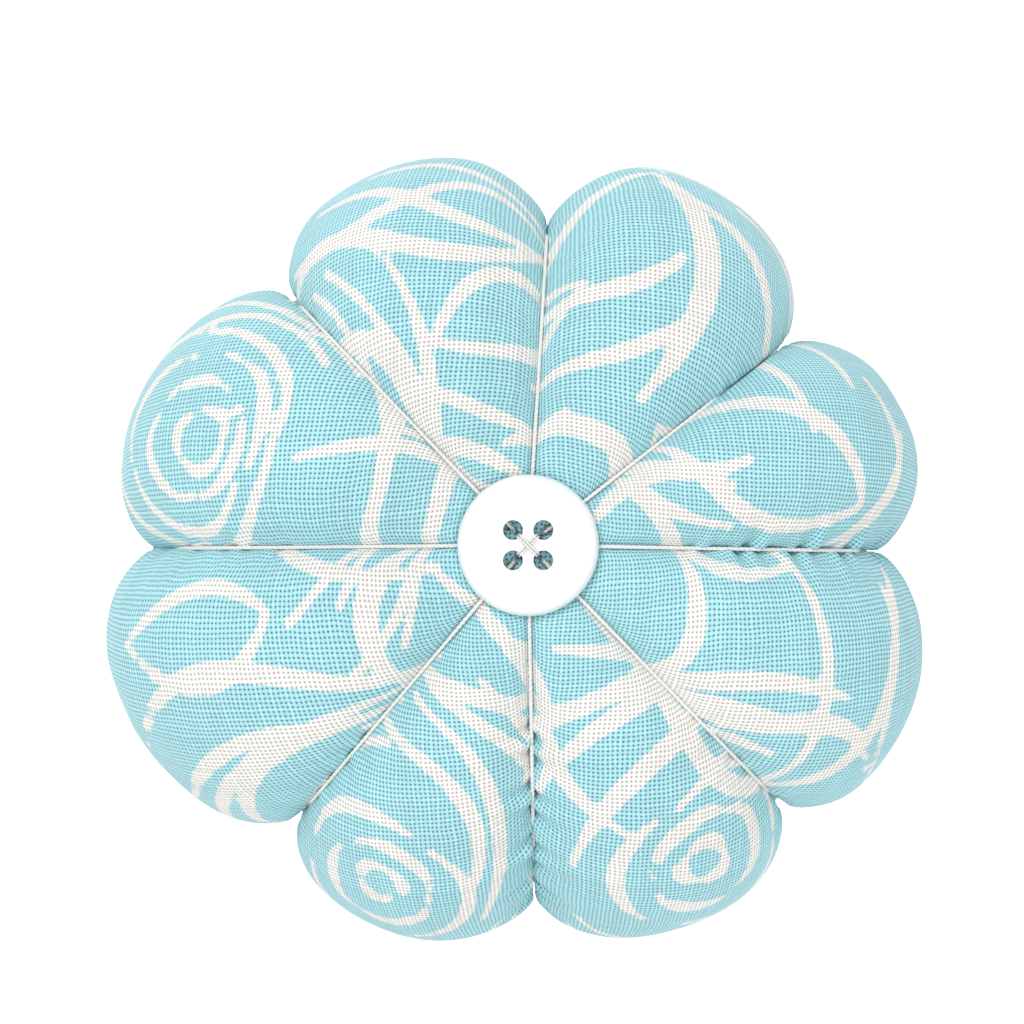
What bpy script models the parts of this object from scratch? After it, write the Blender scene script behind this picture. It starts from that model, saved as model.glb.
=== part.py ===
"""Wrist pin cushion: a stuffed, thread-segmented cushion on an elastic wrist band.

Runs with blender --background --python part.py, or from Blender's text editor.
Everything is in metres with +Z up.  The origin lies on the button's axis, at
the height of the flat foot that the wrist band stands on.
"""

import math
from typing import NamedTuple

import bmesh
import bpy
from mathutils import Vector

# ---------------------------------------------------------------- dimensions
# The cushion's lobes, counter-clockwise.  Each row gives the direction of the
# groove that opens the lobe (degrees from +X), how far from the axis that
# groove's thread holds the cloth, and how far out the lobe itself reaches.
LOBES = (
    (-1.0, 0.0375, 0.0420),
    (38.0, 0.0355, 0.0425),
    (86.5, 0.0360, 0.0420),
    (134.0, 0.0370, 0.0435),
    (180.5, 0.0405, 0.0460),
    (231.0, 0.0370, 0.0430),
    (271.0, 0.0370, 0.0435),
    (313.5, 0.0380, 0.0440),
)
PLAN_ROUNDNESS = 1.5          # 1 is a straight-sided lobe, 2 a round one
LEVEL_ROUNDNESS = 1.9         # the same for how a lobe rises from its grooves
CROWN_TRAVEL = 0.4            # share of the way from axis to seam spent on the crown

class Meridian(NamedTuple):
    """The line from the cushion's axis out to its side seam, in a crest or in a groove.

    It runs level round the middle, rises to the crown and rounds over to the
    seam.  height is the crown's distance from the seam's plane, sunk is how
    much nearer the middle lies, and it sinks between the two radii named.
    """

    height: float
    sunk: float
    sink_start: float
    sink_end: float
    crown: float
    roundness: float


TOP_CREST = Meridian(0.0195, 0.0070, 0.0230, 0.0050, 0.0230, 2.1)
TOP_GROOVE = Meridian(0.0150, 0.0025, 0.0200, 0.0030, 0.0220, 1.9)
BASE_CREST = Meridian(0.0180, 0.0060, 0.0100, 0.0030, 0.0240, 2.6)
BASE_GROOVE = Meridian(0.0140, 0.0020, 0.0180, 0.0030, 0.0220, 2.2)

CLOTH = 0.0006                # cover cloth thickness
SEAM_GAP = 0.0005             # between the two cover panels
STUFFING_INSET = 0.0018
SEAM_THREAD_INSET = 0.0012
FIT_GAP = 0.0003              # between pieces that touch

SEGMENT_THREAD_RADIUS = 0.00025
SEGMENT_THREAD_LIFT_MIDDLE = 0.0006
SEGMENT_THREAD_LIFT_GROOVE = 0.0014
SEAM_THREAD_RADIUS = 0.00022
CENTRE_THREAD_RADIUS = 0.0009
CENTRE_HOLE_TRAVEL = 0.03     # the cover's middle hole, as travel from the axis
THREAD_START_TRAVEL = 0.056
# A thread goes over from the flat middle to its groove from these travels on.
THREAD_SETTLE_START_TOP = 0.16
THREAD_SETTLE_START_BASE = 0.05
THREAD_SETTLE_SPAN = 0.16

BUTTON_RADIUS = 0.0075
BUTTON_THICKNESS = 0.0027
BUTTON_DISH_RADIUS = 0.0052
BUTTON_DISH_DEPTH = 0.0008
BUTTON_EDGE = 0.0007          # softness of its rounded edges
BUTTON_HOLE_RADIUS = 0.00105
BUTTON_HOLE_SPACING = 0.0032
BUTTON_LIFT = 0.0015          # underside above the cushion's middle
STITCH_RADIUS = 0.00038

GUARD_RADIUS = 0.0235
GUARD_THICKNESS = 0.0008
FELT_RADIUS = 0.0250
FELT_THICKNESS = 0.0016
FELT_STITCH_RADIUS = 0.0003
KNOT_RADIUS = 0.0021
KNOT_FLATNESS = 0.6           # height of the knot against its width
KNOT_WRAP = 0.12              # how far its three turns of thread stand out

BAND_WIDTH = 0.0250
BAND_THICKNESS = 0.0014
BAND_OPENING_HALF_WIDTH = 0.0290
BAND_OPENING_HEIGHT = 0.0380
BAND_TOP_CORNER = 0.0110
BAND_FOOT_HALF_LENGTH = 0.0110
BAND_STITCH_LENGTH = 0.0280
BAND_STITCH_WIDTH = 0.0180

# Heights of the stack, from the foot up.
BAND_INNER_TOP = BAND_THICKNESS + BAND_OPENING_HEIGHT
FELT_BOTTOM = BAND_INNER_TOP + BAND_THICKNESS + FIT_GAP
GUARD_BOTTOM = FELT_BOTTOM + FELT_THICKNESS + FIT_GAP
CUSHION_BOTTOM = GUARD_BOTTOM + GUARD_THICKNESS + FIT_GAP
SEAM_LEVEL = CUSHION_BOTTOM + BASE_CREST.height
MIDDLE_TOP = SEAM_LEVEL + TOP_CREST.height - TOP_CREST.sunk
MIDDLE_BOTTOM = SEAM_LEVEL - BASE_CREST.height + BASE_CREST.sunk
BUTTON_BOTTOM = MIDDLE_TOP + BUTTON_LIFT

STEPS_PER_LOBE = 6
TURN_STEPS = STEPS_PER_LOBE * len(LOBES)
CROWN_RINGS = 5
RIM_RINGS = 6
ROUND_STEPS = 48
BUTTON_STEPS = 36
THREAD_POINTS = 26
BAND_ARC_STEPS = 10


# ------------------------------------------------------------------ helpers
def clear_scene():
    """Remove every object, so that the script can be run again."""
    for item in list(bpy.data.objects):
        bpy.data.objects.remove(item, do_unlink=True)


def finish_material(name, colour, roughness, metallic=0.0):
    """Return a Principled material."""
    material = bpy.data.materials.new(name)
    material.use_nodes = True
    shader = material.node_tree.nodes["Principled BSDF"]
    shader.inputs["Base Color"].default_value = (*colour, 1.0)
    shader.inputs["Roughness"].default_value = roughness
    shader.inputs["Metallic"].default_value = metallic
    return material


def object_from_bmesh(name, bm, material, smooth=True):
    """Store a bmesh as a named object in the scene."""
    bmesh.ops.recalc_face_normals(bm, faces=bm.faces[:])
    mesh = bpy.data.meshes.new(name)
    bm.to_mesh(mesh)
    bm.free()
    mesh.materials.append(material)
    if smooth:
        mesh.shade_smooth()
        mesh.set_sharp_from_angle(angle=math.radians(40.0))
    item = bpy.data.objects.new(name, mesh)
    bpy.context.scene.collection.objects.link(item)
    return item


def smooth_step(value):
    """Ease a value between 0 and 1."""
    value = min(1.0, max(0.0, value))
    return value * value * (3.0 - 2.0 * value)


def tube(name, points, radius, material, closed=False, sides_resolution=1):
    """Return a round thread through `points`, with filled ends."""
    curve = bpy.data.curves.new(name, "CURVE")
    curve.dimensions = "3D"
    curve.bevel_depth = radius
    curve.bevel_resolution = sides_resolution
    curve.use_fill_caps = True
    spline = curve.splines.new("POLY")
    spline.points.add(len(points) - 1)
    for spot, place in zip(spline.points, points):
        spot.co = (*place, 1.0)
    spline.use_cyclic_u = closed
    curve.materials.append(material)
    item = bpy.data.objects.new(name, curve)
    bpy.context.scene.collection.objects.link(item)
    return item


def turned(name, profile, height, material, steps=ROUND_STEPS):
    """Spin a closed profile of (radius, level) pairs that starts and ends on the axis."""
    bm = bmesh.new()
    verts = [bm.verts.new((radius, 0.0, height + level)) for radius, level in profile]
    edges = [bm.edges.new(pair) for pair in zip(verts, verts[1:])]
    bmesh.ops.spin(
        bm,
        geom=verts + edges,
        cent=(0.0, 0.0, 0.0),
        axis=(0.0, 0.0, 1.0),
        angle=math.tau,
        steps=steps,
        use_merge=True,
    )
    bmesh.ops.remove_doubles(bm, verts=bm.verts[:], dist=1e-6)
    return object_from_bmesh(name, bm, material)


# ------------------------------------------------------- the cushion's shape
def lobe_at(turn):
    """Return direction, groove reach, lobe reach and nearness to the crest, `turn` lobes round."""
    index = math.floor(turn) % len(LOBES)
    share = turn - math.floor(turn)
    start, groove_reach, lobe_reach = LOBES[index]
    end, next_groove_reach, _ = LOBES[(index + 1) % len(LOBES)]
    if end < start:
        end += 360.0
    across = 1.0 - abs(2.0 * share - 1.0)
    direction = math.radians(start + share * (end - start))
    groove_reach += share * (next_groove_reach - groove_reach)
    return direction, groove_reach, lobe_reach, across


def fullness(across, roundness):
    """Return how far a lobe has risen, `across` (0 to 1) of the way from groove to crest."""
    return (1.0 - (1.0 - across) ** roundness) ** (1.0 / roundness)


def radius_along(travel, reach, meridian):
    """Return the distance from the axis, `travel` (0 to 1) of the way to the seam."""
    if travel <= CROWN_TRAVEL:
        return meridian.crown * travel / CROWN_TRAVEL
    bend = (travel - CROWN_TRAVEL) / (1.0 - CROWN_TRAVEL) * math.pi / 2.0
    return meridian.crown + (reach - meridian.crown) * math.sin(bend) ** (2.0 / meridian.roundness)


def level_at(radius, reach, meridian):
    """Return a meridian's distance from the seam's plane, `radius` out from the axis."""
    if radius <= meridian.crown:
        sinking = (meridian.sink_start - radius) / (meridian.sink_start - meridian.sink_end)
        return meridian.height - meridian.sunk * smooth_step(sinking)
    out = min(1.0, (radius - meridian.crown) / (reach - meridian.crown))
    return meridian.height * (1.0 - out**meridian.roundness) ** (1.0 / meridian.roundness)


def skin_point(travel, turn):
    """Return a point of the cover: travel 0 is its top middle, 1 the seam, 2 its base middle."""
    direction, groove_reach, lobe_reach, across = lobe_at(turn)
    if travel <= 1.0:
        side, along, crest, groove = 1.0, travel, TOP_CREST, TOP_GROOVE
    else:
        side, along, crest, groove = -1.0, 2.0 - travel, BASE_CREST, BASE_GROOVE
    groove_radius = radius_along(along, groove_reach, groove)
    crest_radius = radius_along(along, lobe_reach, crest)
    floor = level_at(groove_radius, groove_reach, groove)
    ridge = level_at(crest_radius, lobe_reach, crest)
    radius = groove_radius + (crest_radius - groove_radius) * fullness(across, PLAN_ROUNDNESS)
    level = floor + (ridge - floor) * fullness(across, LEVEL_ROUNDNESS)
    return Vector((
        radius * math.cos(direction),
        radius * math.sin(direction),
        SEAM_LEVEL + side * level,
    ))


def skin_normal(travel, turn):
    """Return the cover's outward direction."""
    nudge = 0.01
    along = skin_point(min(2.0, travel + nudge), turn) - skin_point(max(0.0, travel - nudge), turn)
    around = skin_point(travel, turn + nudge) - skin_point(travel, turn - nudge)
    return along.cross(around).normalized()


def offset_point(travel, turn, lift):
    """Return a point `lift` outside the cover, or inside it where lift is negative."""
    return skin_point(travel, turn) + skin_normal(travel, turn) * lift


def travels(first, last):
    """Return the ring positions from `first` out to the seam and on to `last`."""
    crown = [first + (CROWN_TRAVEL - first) * k / CROWN_RINGS for k in range(CROWN_RINGS)]
    rim = [CROWN_TRAVEL + (1.0 - CROWN_TRAVEL) * k / RIM_RINGS for k in range(RIM_RINGS + 1)]
    top = crown + rim
    if last <= 1.0:
        return top
    return top + [2.0 - travel for travel in reversed(top[:-1])]


def wrapped(name, loop, material, lowest=None, highest=None):
    """Spin a closed loop of (travel, lift) pairs and lay it on the cushion's shape.

    The loop is first spun as a flat ring whose radius stands for travel and
    whose height stands for lift; each point is then moved to its place.
    """
    bm = bmesh.new()
    verts = [bm.verts.new((1.0 + travel, 0.0, lift)) for travel, lift in loop]
    edges = [bm.edges.new(pair) for pair in zip(verts, verts[1:] + verts[:1])]
    bmesh.ops.spin(
        bm,
        geom=verts + edges,
        cent=(0.0, 0.0, 0.0),
        axis=(0.0, 0.0, 1.0),
        angle=math.tau,
        steps=TURN_STEPS,
        use_merge=True,
    )
    for vert in bm.verts:
        travel = math.hypot(vert.co.x, vert.co.y) - 1.0
        step = round(math.atan2(vert.co.y, vert.co.x) / math.tau * TURN_STEPS)
        place = offset_point(travel, step / STEPS_PER_LOBE, vert.co.z)
        if lowest is not None:
            place.z = max(place.z, lowest)
        if highest is not None:
            place.z = min(place.z, highest)
        vert.co = place
    return object_from_bmesh(name, bm, material)


# ---------------------------------------------------------------- the pieces
def add_cover_panels(cloth):
    """Make the two cloth panels that meet at the side seam."""
    rings = travels(CENTRE_HOLE_TRAVEL, 1.0)
    outside = [(travel, 0.0) for travel in rings]
    inside = [(travel, -CLOTH) for travel in reversed(rings)]
    wrapped("cover_top_panel", outside + inside, cloth, lowest=SEAM_LEVEL + SEAM_GAP / 2.0)
    rings = [2.0 - travel for travel in rings]
    outside = [(travel, 0.0) for travel in rings]
    inside = [(travel, -CLOTH) for travel in reversed(rings)]
    wrapped("cover_bottom_panel", outside + inside, cloth, highest=SEAM_LEVEL - SEAM_GAP / 2.0)


def add_stuffing(fill):
    """Make the fill, with the middle channel that the tie thread runs through."""
    rings = travels(CENTRE_HOLE_TRAVEL, 2.0)
    wrapped("stuffing", [(travel, -STUFFING_INSET) for travel in rings], fill)


def add_seam_thread(thread):
    """Make the thread that joins the panels, just inside the seam."""
    points = [
        offset_point(1.0, step / STEPS_PER_LOBE, -SEAM_THREAD_INSET)
        for step in range(TURN_STEPS)
    ]
    tube("seam_thread", points, SEAM_THREAD_RADIUS, thread, closed=True)


def add_segment_threads(thread):
    """Make the eight threads that draw the grooves in, over the top, side and base."""
    span = 2.0 - 2.0 * THREAD_START_TRAVEL
    for index in range(len(LOBES)):
        points = []
        for k in range(THREAD_POINTS):
            travel = THREAD_START_TRAVEL + span * k / (THREAD_POINTS - 1)
            if travel <= 1.0:
                out = travel - THREAD_SETTLE_START_TOP
            else:
                out = 2.0 - travel - THREAD_SETTLE_START_BASE
            settled = smooth_step(out / THREAD_SETTLE_SPAN)
            lift = SEGMENT_THREAD_LIFT_MIDDLE
            lift += (SEGMENT_THREAD_LIFT_GROOVE - SEGMENT_THREAD_LIFT_MIDDLE) * settled
            points.append(offset_point(travel, index, lift))
        tube(f"segment_thread_{index + 1}", points, SEGMENT_THREAD_RADIUS, thread)


def add_centre_tie(thread):
    """Make the tie that pulls the middle down, and the knot that holds it below."""
    top = MIDDLE_TOP + BUTTON_LIFT - FIT_GAP
    bottom = MIDDLE_BOTTOM - FIT_GAP
    profile = (
        (0.0, bottom),
        (CENTRE_THREAD_RADIUS, bottom),
        (CENTRE_THREAD_RADIUS, top),
        (0.0, top),
    )
    turned("centre_thread", profile, 0.0, thread, steps=12)

    bm = bmesh.new()
    bmesh.ops.create_icosphere(bm, subdivisions=2, radius=KNOT_RADIUS)
    for vert in bm.verts:
        wrap = 1.0 + KNOT_WRAP * math.cos(3.0 * math.atan2(vert.co.y, vert.co.x))
        vert.co.x *= wrap
        vert.co.y *= wrap
        vert.co.z *= KNOT_FLATNESS
    level = bottom - FIT_GAP - KNOT_FLATNESS * KNOT_RADIUS
    bmesh.ops.translate(bm, verts=bm.verts[:], vec=(0.0, 0.0, level))
    object_from_bmesh("tie_knot", bm, thread)


def add_button(plastic):
    """Make the four-hole button with a dished face."""
    soft = BUTTON_EDGE
    rim = BUTTON_THICKNESS
    profile = (
        (0.0, 0.0),
        (BUTTON_RADIUS - 1.6 * soft, 0.0),
        (BUTTON_RADIUS - 0.4 * soft, 0.6 * soft),
        (BUTTON_RADIUS, 1.4 * soft),
        (BUTTON_RADIUS, rim - 1.4 * soft),
        (BUTTON_RADIUS - 0.4 * soft, rim - 0.4 * soft),
        (BUTTON_RADIUS - 1.4 * soft, rim),
        (BUTTON_DISH_RADIUS + soft, rim - 0.15 * BUTTON_DISH_DEPTH),
        (BUTTON_DISH_RADIUS, rim - 0.6 * BUTTON_DISH_DEPTH),
        (BUTTON_DISH_RADIUS - soft, rim - BUTTON_DISH_DEPTH),
        (0.0, rim - BUTTON_DISH_DEPTH),
    )
    button = turned("top_button", profile, BUTTON_BOTTOM, plastic, steps=BUTTON_STEPS)
    half = BUTTON_HOLE_SPACING / 2.0
    for number, (x, y) in enumerate(((half, half), (-half, half), (-half, -half), (half, -half))):
        bm = bmesh.new()
        bmesh.ops.create_cone(
            bm,
            cap_ends=True,
            segments=16,
            radius1=BUTTON_HOLE_RADIUS,
            radius2=BUTTON_HOLE_RADIUS,
            depth=4.0 * BUTTON_THICKNESS,
        )
        middle = BUTTON_BOTTOM + BUTTON_THICKNESS / 2.0
        bmesh.ops.translate(bm, verts=bm.verts[:], vec=(x, y, middle))
        cutter = object_from_bmesh(f"button_hole_cutter_{number + 1}", bm, plastic)
        cutter.hide_render = True
        cutter.display_type = "WIRE"
        cut = button.modifiers.new(f"hole_{number + 1}", "BOOLEAN")
        cut.operation = "DIFFERENCE"
        cut.object = cutter


def add_button_stitches(thread):
    """Make the two threads that cross on the button and go down its holes."""
    half = BUTTON_HOLE_SPACING / 2.0
    face = BUTTON_BOTTOM + BUTTON_THICKNESS - BUTTON_DISH_DEPTH
    foot = BUTTON_BOTTOM + FIT_GAP / 2.0
    low_crossing = face + FIT_GAP + STITCH_RADIUS
    high_crossing = low_crossing + FIT_GAP + 2.0 * STITCH_RADIUS
    for number, crossing in enumerate((low_crossing, high_crossing)):
        lean = 1.0 if number == 0 else -1.0
        shoulder = low_crossing
        points = [
            (-half, -half * lean, foot),
            (-half, -half * lean, face - 0.5 * STITCH_RADIUS),
            (-0.88 * half, -0.88 * half * lean, shoulder - 0.4 * STITCH_RADIUS),
            (-0.6 * half, -0.6 * half * lean, shoulder + 0.6 * (crossing - shoulder)),
            (-0.2 * half, -0.2 * half * lean, crossing),
            (0.2 * half, 0.2 * half * lean, crossing),
            (0.6 * half, 0.6 * half * lean, shoulder + 0.6 * (crossing - shoulder)),
            (0.88 * half, 0.88 * half * lean, shoulder - 0.4 * STITCH_RADIUS),
            (half, half * lean, face - 0.5 * STITCH_RADIUS),
            (half, half * lean, foot),
        ]
        tube(f"button_stitch_{number + 1}", points, STITCH_RADIUS, thread, sides_resolution=2)


def add_base(plastic, felt, thread):
    """Make the needle guard, the felt under it and the felt's edge stitching."""
    for name, radius, bottom, thickness, material in (
        ("needle_guard", GUARD_RADIUS, GUARD_BOTTOM, GUARD_THICKNESS, plastic),
        ("base_felt", FELT_RADIUS, FELT_BOTTOM, FELT_THICKNESS, felt),
    ):
        profile = ((0.0, 0.0), (radius, 0.0), (radius, thickness), (0.0, thickness))
        turned(name, profile, bottom, material)
    ring = FELT_RADIUS + FIT_GAP + FELT_STITCH_RADIUS
    level = FELT_BOTTOM + FELT_THICKNESS / 2.0
    points = []
    for step in range(ROUND_STEPS):
        angle = math.tau * step / ROUND_STEPS
        points.append((ring * math.cos(angle), ring * math.sin(angle), level))
    tube("base_stitching", points, FELT_STITCH_RADIUS, thread, closed=True)


def quarter(centre_x, centre_z, half_width, half_height, start, end):
    """Return points of an elliptical arc in the XZ plane, from `start` to `end` degrees."""
    points = []
    for step in range(BAND_ARC_STEPS + 1):
        angle = math.radians(start + (end - start) * step / BAND_ARC_STEPS)
        x = centre_x + half_width * math.cos(angle)
        z = centre_z + half_height * math.sin(angle)
        points.append((x, z))
    return points


def strap(name, path, material):
    """Return a flat strap whose middle follows `path`, a list of (x, z) points."""
    bm = bmesh.new()
    verts = [bm.verts.new((x, -BAND_WIDTH / 2.0, z)) for x, z in path]
    edges = [bm.edges.new(pair) for pair in zip(verts, verts[1:])]
    swept = bmesh.ops.extrude_edge_only(bm, edges=edges)
    moved = [piece for piece in swept["geom"] if isinstance(piece, bmesh.types.BMVert)]
    bmesh.ops.translate(bm, verts=moved, vec=(0.0, BAND_WIDTH, 0.0))
    item = object_from_bmesh(name, bm, material)
    thicken = item.modifiers.new("thickness", "SOLIDIFY")
    thicken.thickness = BAND_THICKNESS
    thicken.offset = 0.0
    thicken.use_even_offset = True
    return item


def add_wrist_band(elastic, thread):
    """Make the elastic loop in two halves, and the box of stitching that holds it."""
    half = BAND_THICKNESS / 2.0
    side = BAND_OPENING_HALF_WIDTH + half
    corner = BAND_TOP_CORNER + half
    corner_x = side - corner
    split = BAND_INNER_TOP + half - corner
    upper = quarter(corner_x, split, corner, corner, 0.0, 90.0)
    upper += [(-x, z) for x, z in reversed(upper)]
    upper = [(x, max(z, split + FIT_GAP / 2.0)) for x, z in upper]
    strap("wrist_band_upper", upper, elastic)

    foot_x = BAND_FOOT_HALF_LENGTH
    lower = quarter(foot_x, split, side - foot_x, split - half, 0.0, -90.0)
    lower += [(-x, z) for x, z in reversed(lower)]
    lower = [(x, min(z, split - FIT_GAP / 2.0)) for x, z in lower]
    strap("wrist_band_lower", lower, elastic)

    level = BAND_INNER_TOP - FIT_GAP - SEGMENT_THREAD_RADIUS
    x, y = BAND_STITCH_LENGTH / 2.0, BAND_STITCH_WIDTH / 2.0
    corners = ((x, y), (-x, y), (-x, -y), (x, -y))
    points = [(*spot, level) for spot in corners]
    tube("band_stitch_box", points, SEGMENT_THREAD_RADIUS, thread, closed=True)


def main():
    """Build the whole cushion."""
    clear_scene()
    cloth = finish_material("printed_cotton", (0.45, 0.77, 0.82), 0.85)
    fill = finish_material("fibre_fill", (0.88, 0.87, 0.83), 0.95)
    thread = finish_material("white_thread", (0.86, 0.85, 0.80), 0.70)
    button_plastic = finish_material("button_plastic", (0.90, 0.90, 0.89), 0.18)
    guard_plastic = finish_material("guard_plastic", (0.80, 0.82, 0.82), 0.45)
    felt = finish_material("felt", (0.80, 0.86, 0.86), 0.95)
    elastic = finish_material("elastic", (0.85, 0.86, 0.85), 0.80)
    add_cover_panels(cloth)
    add_stuffing(fill)
    add_seam_thread(thread)
    add_segment_threads(thread)
    add_centre_tie(thread)
    add_button(button_plastic)
    add_button_stitches(thread)
    add_base(guard_plastic, felt, thread)
    add_wrist_band(elastic, thread)


main()
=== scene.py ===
"""A wrist pin cushion: printed cover, threads, button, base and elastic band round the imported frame."""

import logging
import math
from collections.abc import Iterator
from contextlib import contextmanager
from dataclasses import dataclass
from enum import Enum

import bmesh
import bpy
import numpy as np
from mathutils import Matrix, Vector


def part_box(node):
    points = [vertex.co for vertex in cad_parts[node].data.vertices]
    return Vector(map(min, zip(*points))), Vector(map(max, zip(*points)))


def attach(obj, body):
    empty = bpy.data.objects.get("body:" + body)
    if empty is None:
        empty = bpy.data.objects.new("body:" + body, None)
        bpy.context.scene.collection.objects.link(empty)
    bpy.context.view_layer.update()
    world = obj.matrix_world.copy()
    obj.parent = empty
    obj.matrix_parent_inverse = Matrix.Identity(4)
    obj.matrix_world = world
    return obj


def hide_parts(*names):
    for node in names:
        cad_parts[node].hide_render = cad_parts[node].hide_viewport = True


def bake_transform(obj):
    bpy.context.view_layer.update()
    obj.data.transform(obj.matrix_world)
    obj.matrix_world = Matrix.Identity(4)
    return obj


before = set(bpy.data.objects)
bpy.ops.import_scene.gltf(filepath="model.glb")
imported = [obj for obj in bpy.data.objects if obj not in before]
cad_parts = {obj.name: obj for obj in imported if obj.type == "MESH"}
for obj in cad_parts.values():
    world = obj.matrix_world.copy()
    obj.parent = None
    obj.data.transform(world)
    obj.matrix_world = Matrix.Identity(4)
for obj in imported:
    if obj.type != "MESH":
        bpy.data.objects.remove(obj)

LOG = logging.getLogger("wrist_pin_cushion")
MM = 0.001


# ------------------------------------------------------------------- shaders
class Graph:
    """A thin wrapper that adds and links nodes in one node tree."""

    def __init__(self, tree: bpy.types.NodeTree) -> None:
        """Keep the tree that nodes are added to."""
        self.tree = tree

    def node(self, kind: str, **settings: object) -> bpy.types.Node:
        """Add a node.

        Args:
            kind: the node's Blender type name.
            **settings: properties to set on it.

        Returns:
            The new node.
        """
        made = self.tree.nodes.new(kind)
        for key, value in settings.items():
            setattr(made, key, value)
        return made

    def feed(self, target: bpy.types.NodeSocket, value: object) -> None:
        """Link a socket to an input, or set the input's plain value.

        Args:
            target: the input.
            value: a socket to link, or a plain value.
        """
        if isinstance(value, bpy.types.NodeSocket):
            self.tree.links.new(value, target)
        else:
            target.default_value = value

    def math(self, operation: str, *values: object) -> bpy.types.NodeSocket:
        """Add a Math node.

        Args:
            operation: the node's operation.
            *values: its inputs, as sockets or numbers.

        Returns:
            The result's socket.
        """
        made = self.node("ShaderNodeMath", operation=operation)
        for target, value in zip(made.inputs, values):
            self.feed(target, value)
        return made.outputs[0]

    def scaled(self, value: object, share: float, start: float) -> bpy.types.NodeSocket:
        """Add Math nodes that give a value times `share`, plus `start`."""
        return self.math("ADD", self.math("MULTIPLY", value, share), start)

    def vector(self, operation: str, *values: object, scale: object = None) -> bpy.types.NodeSocket:
        """Add a Vector Math node.

        Args:
            operation: the node's operation.
            *values: its vector inputs.
            scale: the Scale input, for the SCALE operation.

        Returns:
            The result's socket.
        """
        made = self.node("ShaderNodeVectorMath", operation=operation)
        for target, value in zip(made.inputs, values):
            self.feed(target, value)
        if scale is not None:
            self.feed(made.inputs["Scale"], scale)
        return made.outputs[0]

    def step(self, value: object, low: float, high: float) -> bpy.types.NodeSocket:
        """Add a smooth step from 0 at `low` to 1 at `high`.

        Args:
            value: the value to step.
            low: where the step starts.
            high: where the step ends.

        Returns:
            The result's socket.
        """
        made = self.node("ShaderNodeMapRange", interpolation_type="SMOOTHSTEP")
        self.feed(made.inputs["Value"], value)
        made.inputs["From Min"].default_value = low
        made.inputs["From Max"].default_value = high
        return made.outputs["Result"]

    def blend(self, share: object, first: object, second: object) -> bpy.types.NodeSocket:
        """Add a colour Mix node.

        Args:
            share: how much of the second colour is used.
            first: the first colour.
            second: the second colour.

        Returns:
            The result's socket.
        """
        made = self.node("ShaderNodeMix", data_type="RGBA")
        self.feed(made.inputs[0], share)
        self.feed(made.inputs[6], first)
        self.feed(made.inputs[7], second)
        return made.outputs[2]

    def noise(self, place: object, scale: float, detail: float = 2.0) -> bpy.types.NodeSocket:
        """Add a Noise Texture.

        Args:
            place: the coordinates.
            scale: features per metre.
            detail: octaves.

        Returns:
            The noise value's socket.
        """
        made = self.node("ShaderNodeTexNoise")
        self.feed(made.inputs["Vector"], place)
        made.inputs["Scale"].default_value = scale
        made.inputs["Detail"].default_value = detail
        return made.outputs["Fac"]

    def bump(self, height: object, distance: float, strength: float = 1.0) -> bpy.types.NodeSocket:
        """Add a Bump node.

        Args:
            height: the height, 0 to 1.
            distance: what a height of 1 stands for, in metres.
            strength: the node's strength.

        Returns:
            The normal's socket.
        """
        made = self.node("ShaderNodeBump")
        made.inputs["Strength"].default_value = strength
        made.inputs["Distance"].default_value = distance
        self.feed(made.inputs["Height"], height)
        return made.outputs["Normal"]

    def object_place(self) -> bpy.types.NodeSocket:
        """Return the Object coordinates."""
        return self.node("ShaderNodeTexCoord").outputs["Object"]

    def cloth_place(self) -> bpy.types.NodeSocket:
        """Return the piece's own flat cloth coordinates, in metres."""
        return self.node("ShaderNodeUVMap", uv_map="cloth").outputs["UV"]


def new_group(name: str, inputs: dict[str, str], outputs: dict[str, str]) -> tuple[Graph, dict, dict]:
    """Make an empty shader node group.

    Args:
        name: the group's name.
        inputs: input names and their socket types.
        outputs: output names and their socket types.

    Returns:
        The group's graph, its inner input sockets and its inner output sockets, by name.
    """
    tree = bpy.data.node_groups.new(name, "ShaderNodeTree")
    for label, kind in inputs.items():
        tree.interface.new_socket(name=label, in_out="INPUT", socket_type=kind)
    for label, kind in outputs.items():
        tree.interface.new_socket(name=label, in_out="OUTPUT", socket_type=kind)
    graph = Graph(tree)
    entry = graph.node("NodeGroupInput")
    leave = graph.node("NodeGroupOutput")
    return graph, {key: entry.outputs[key] for key in inputs}, {key: leave.inputs[key] for key in outputs}


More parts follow.
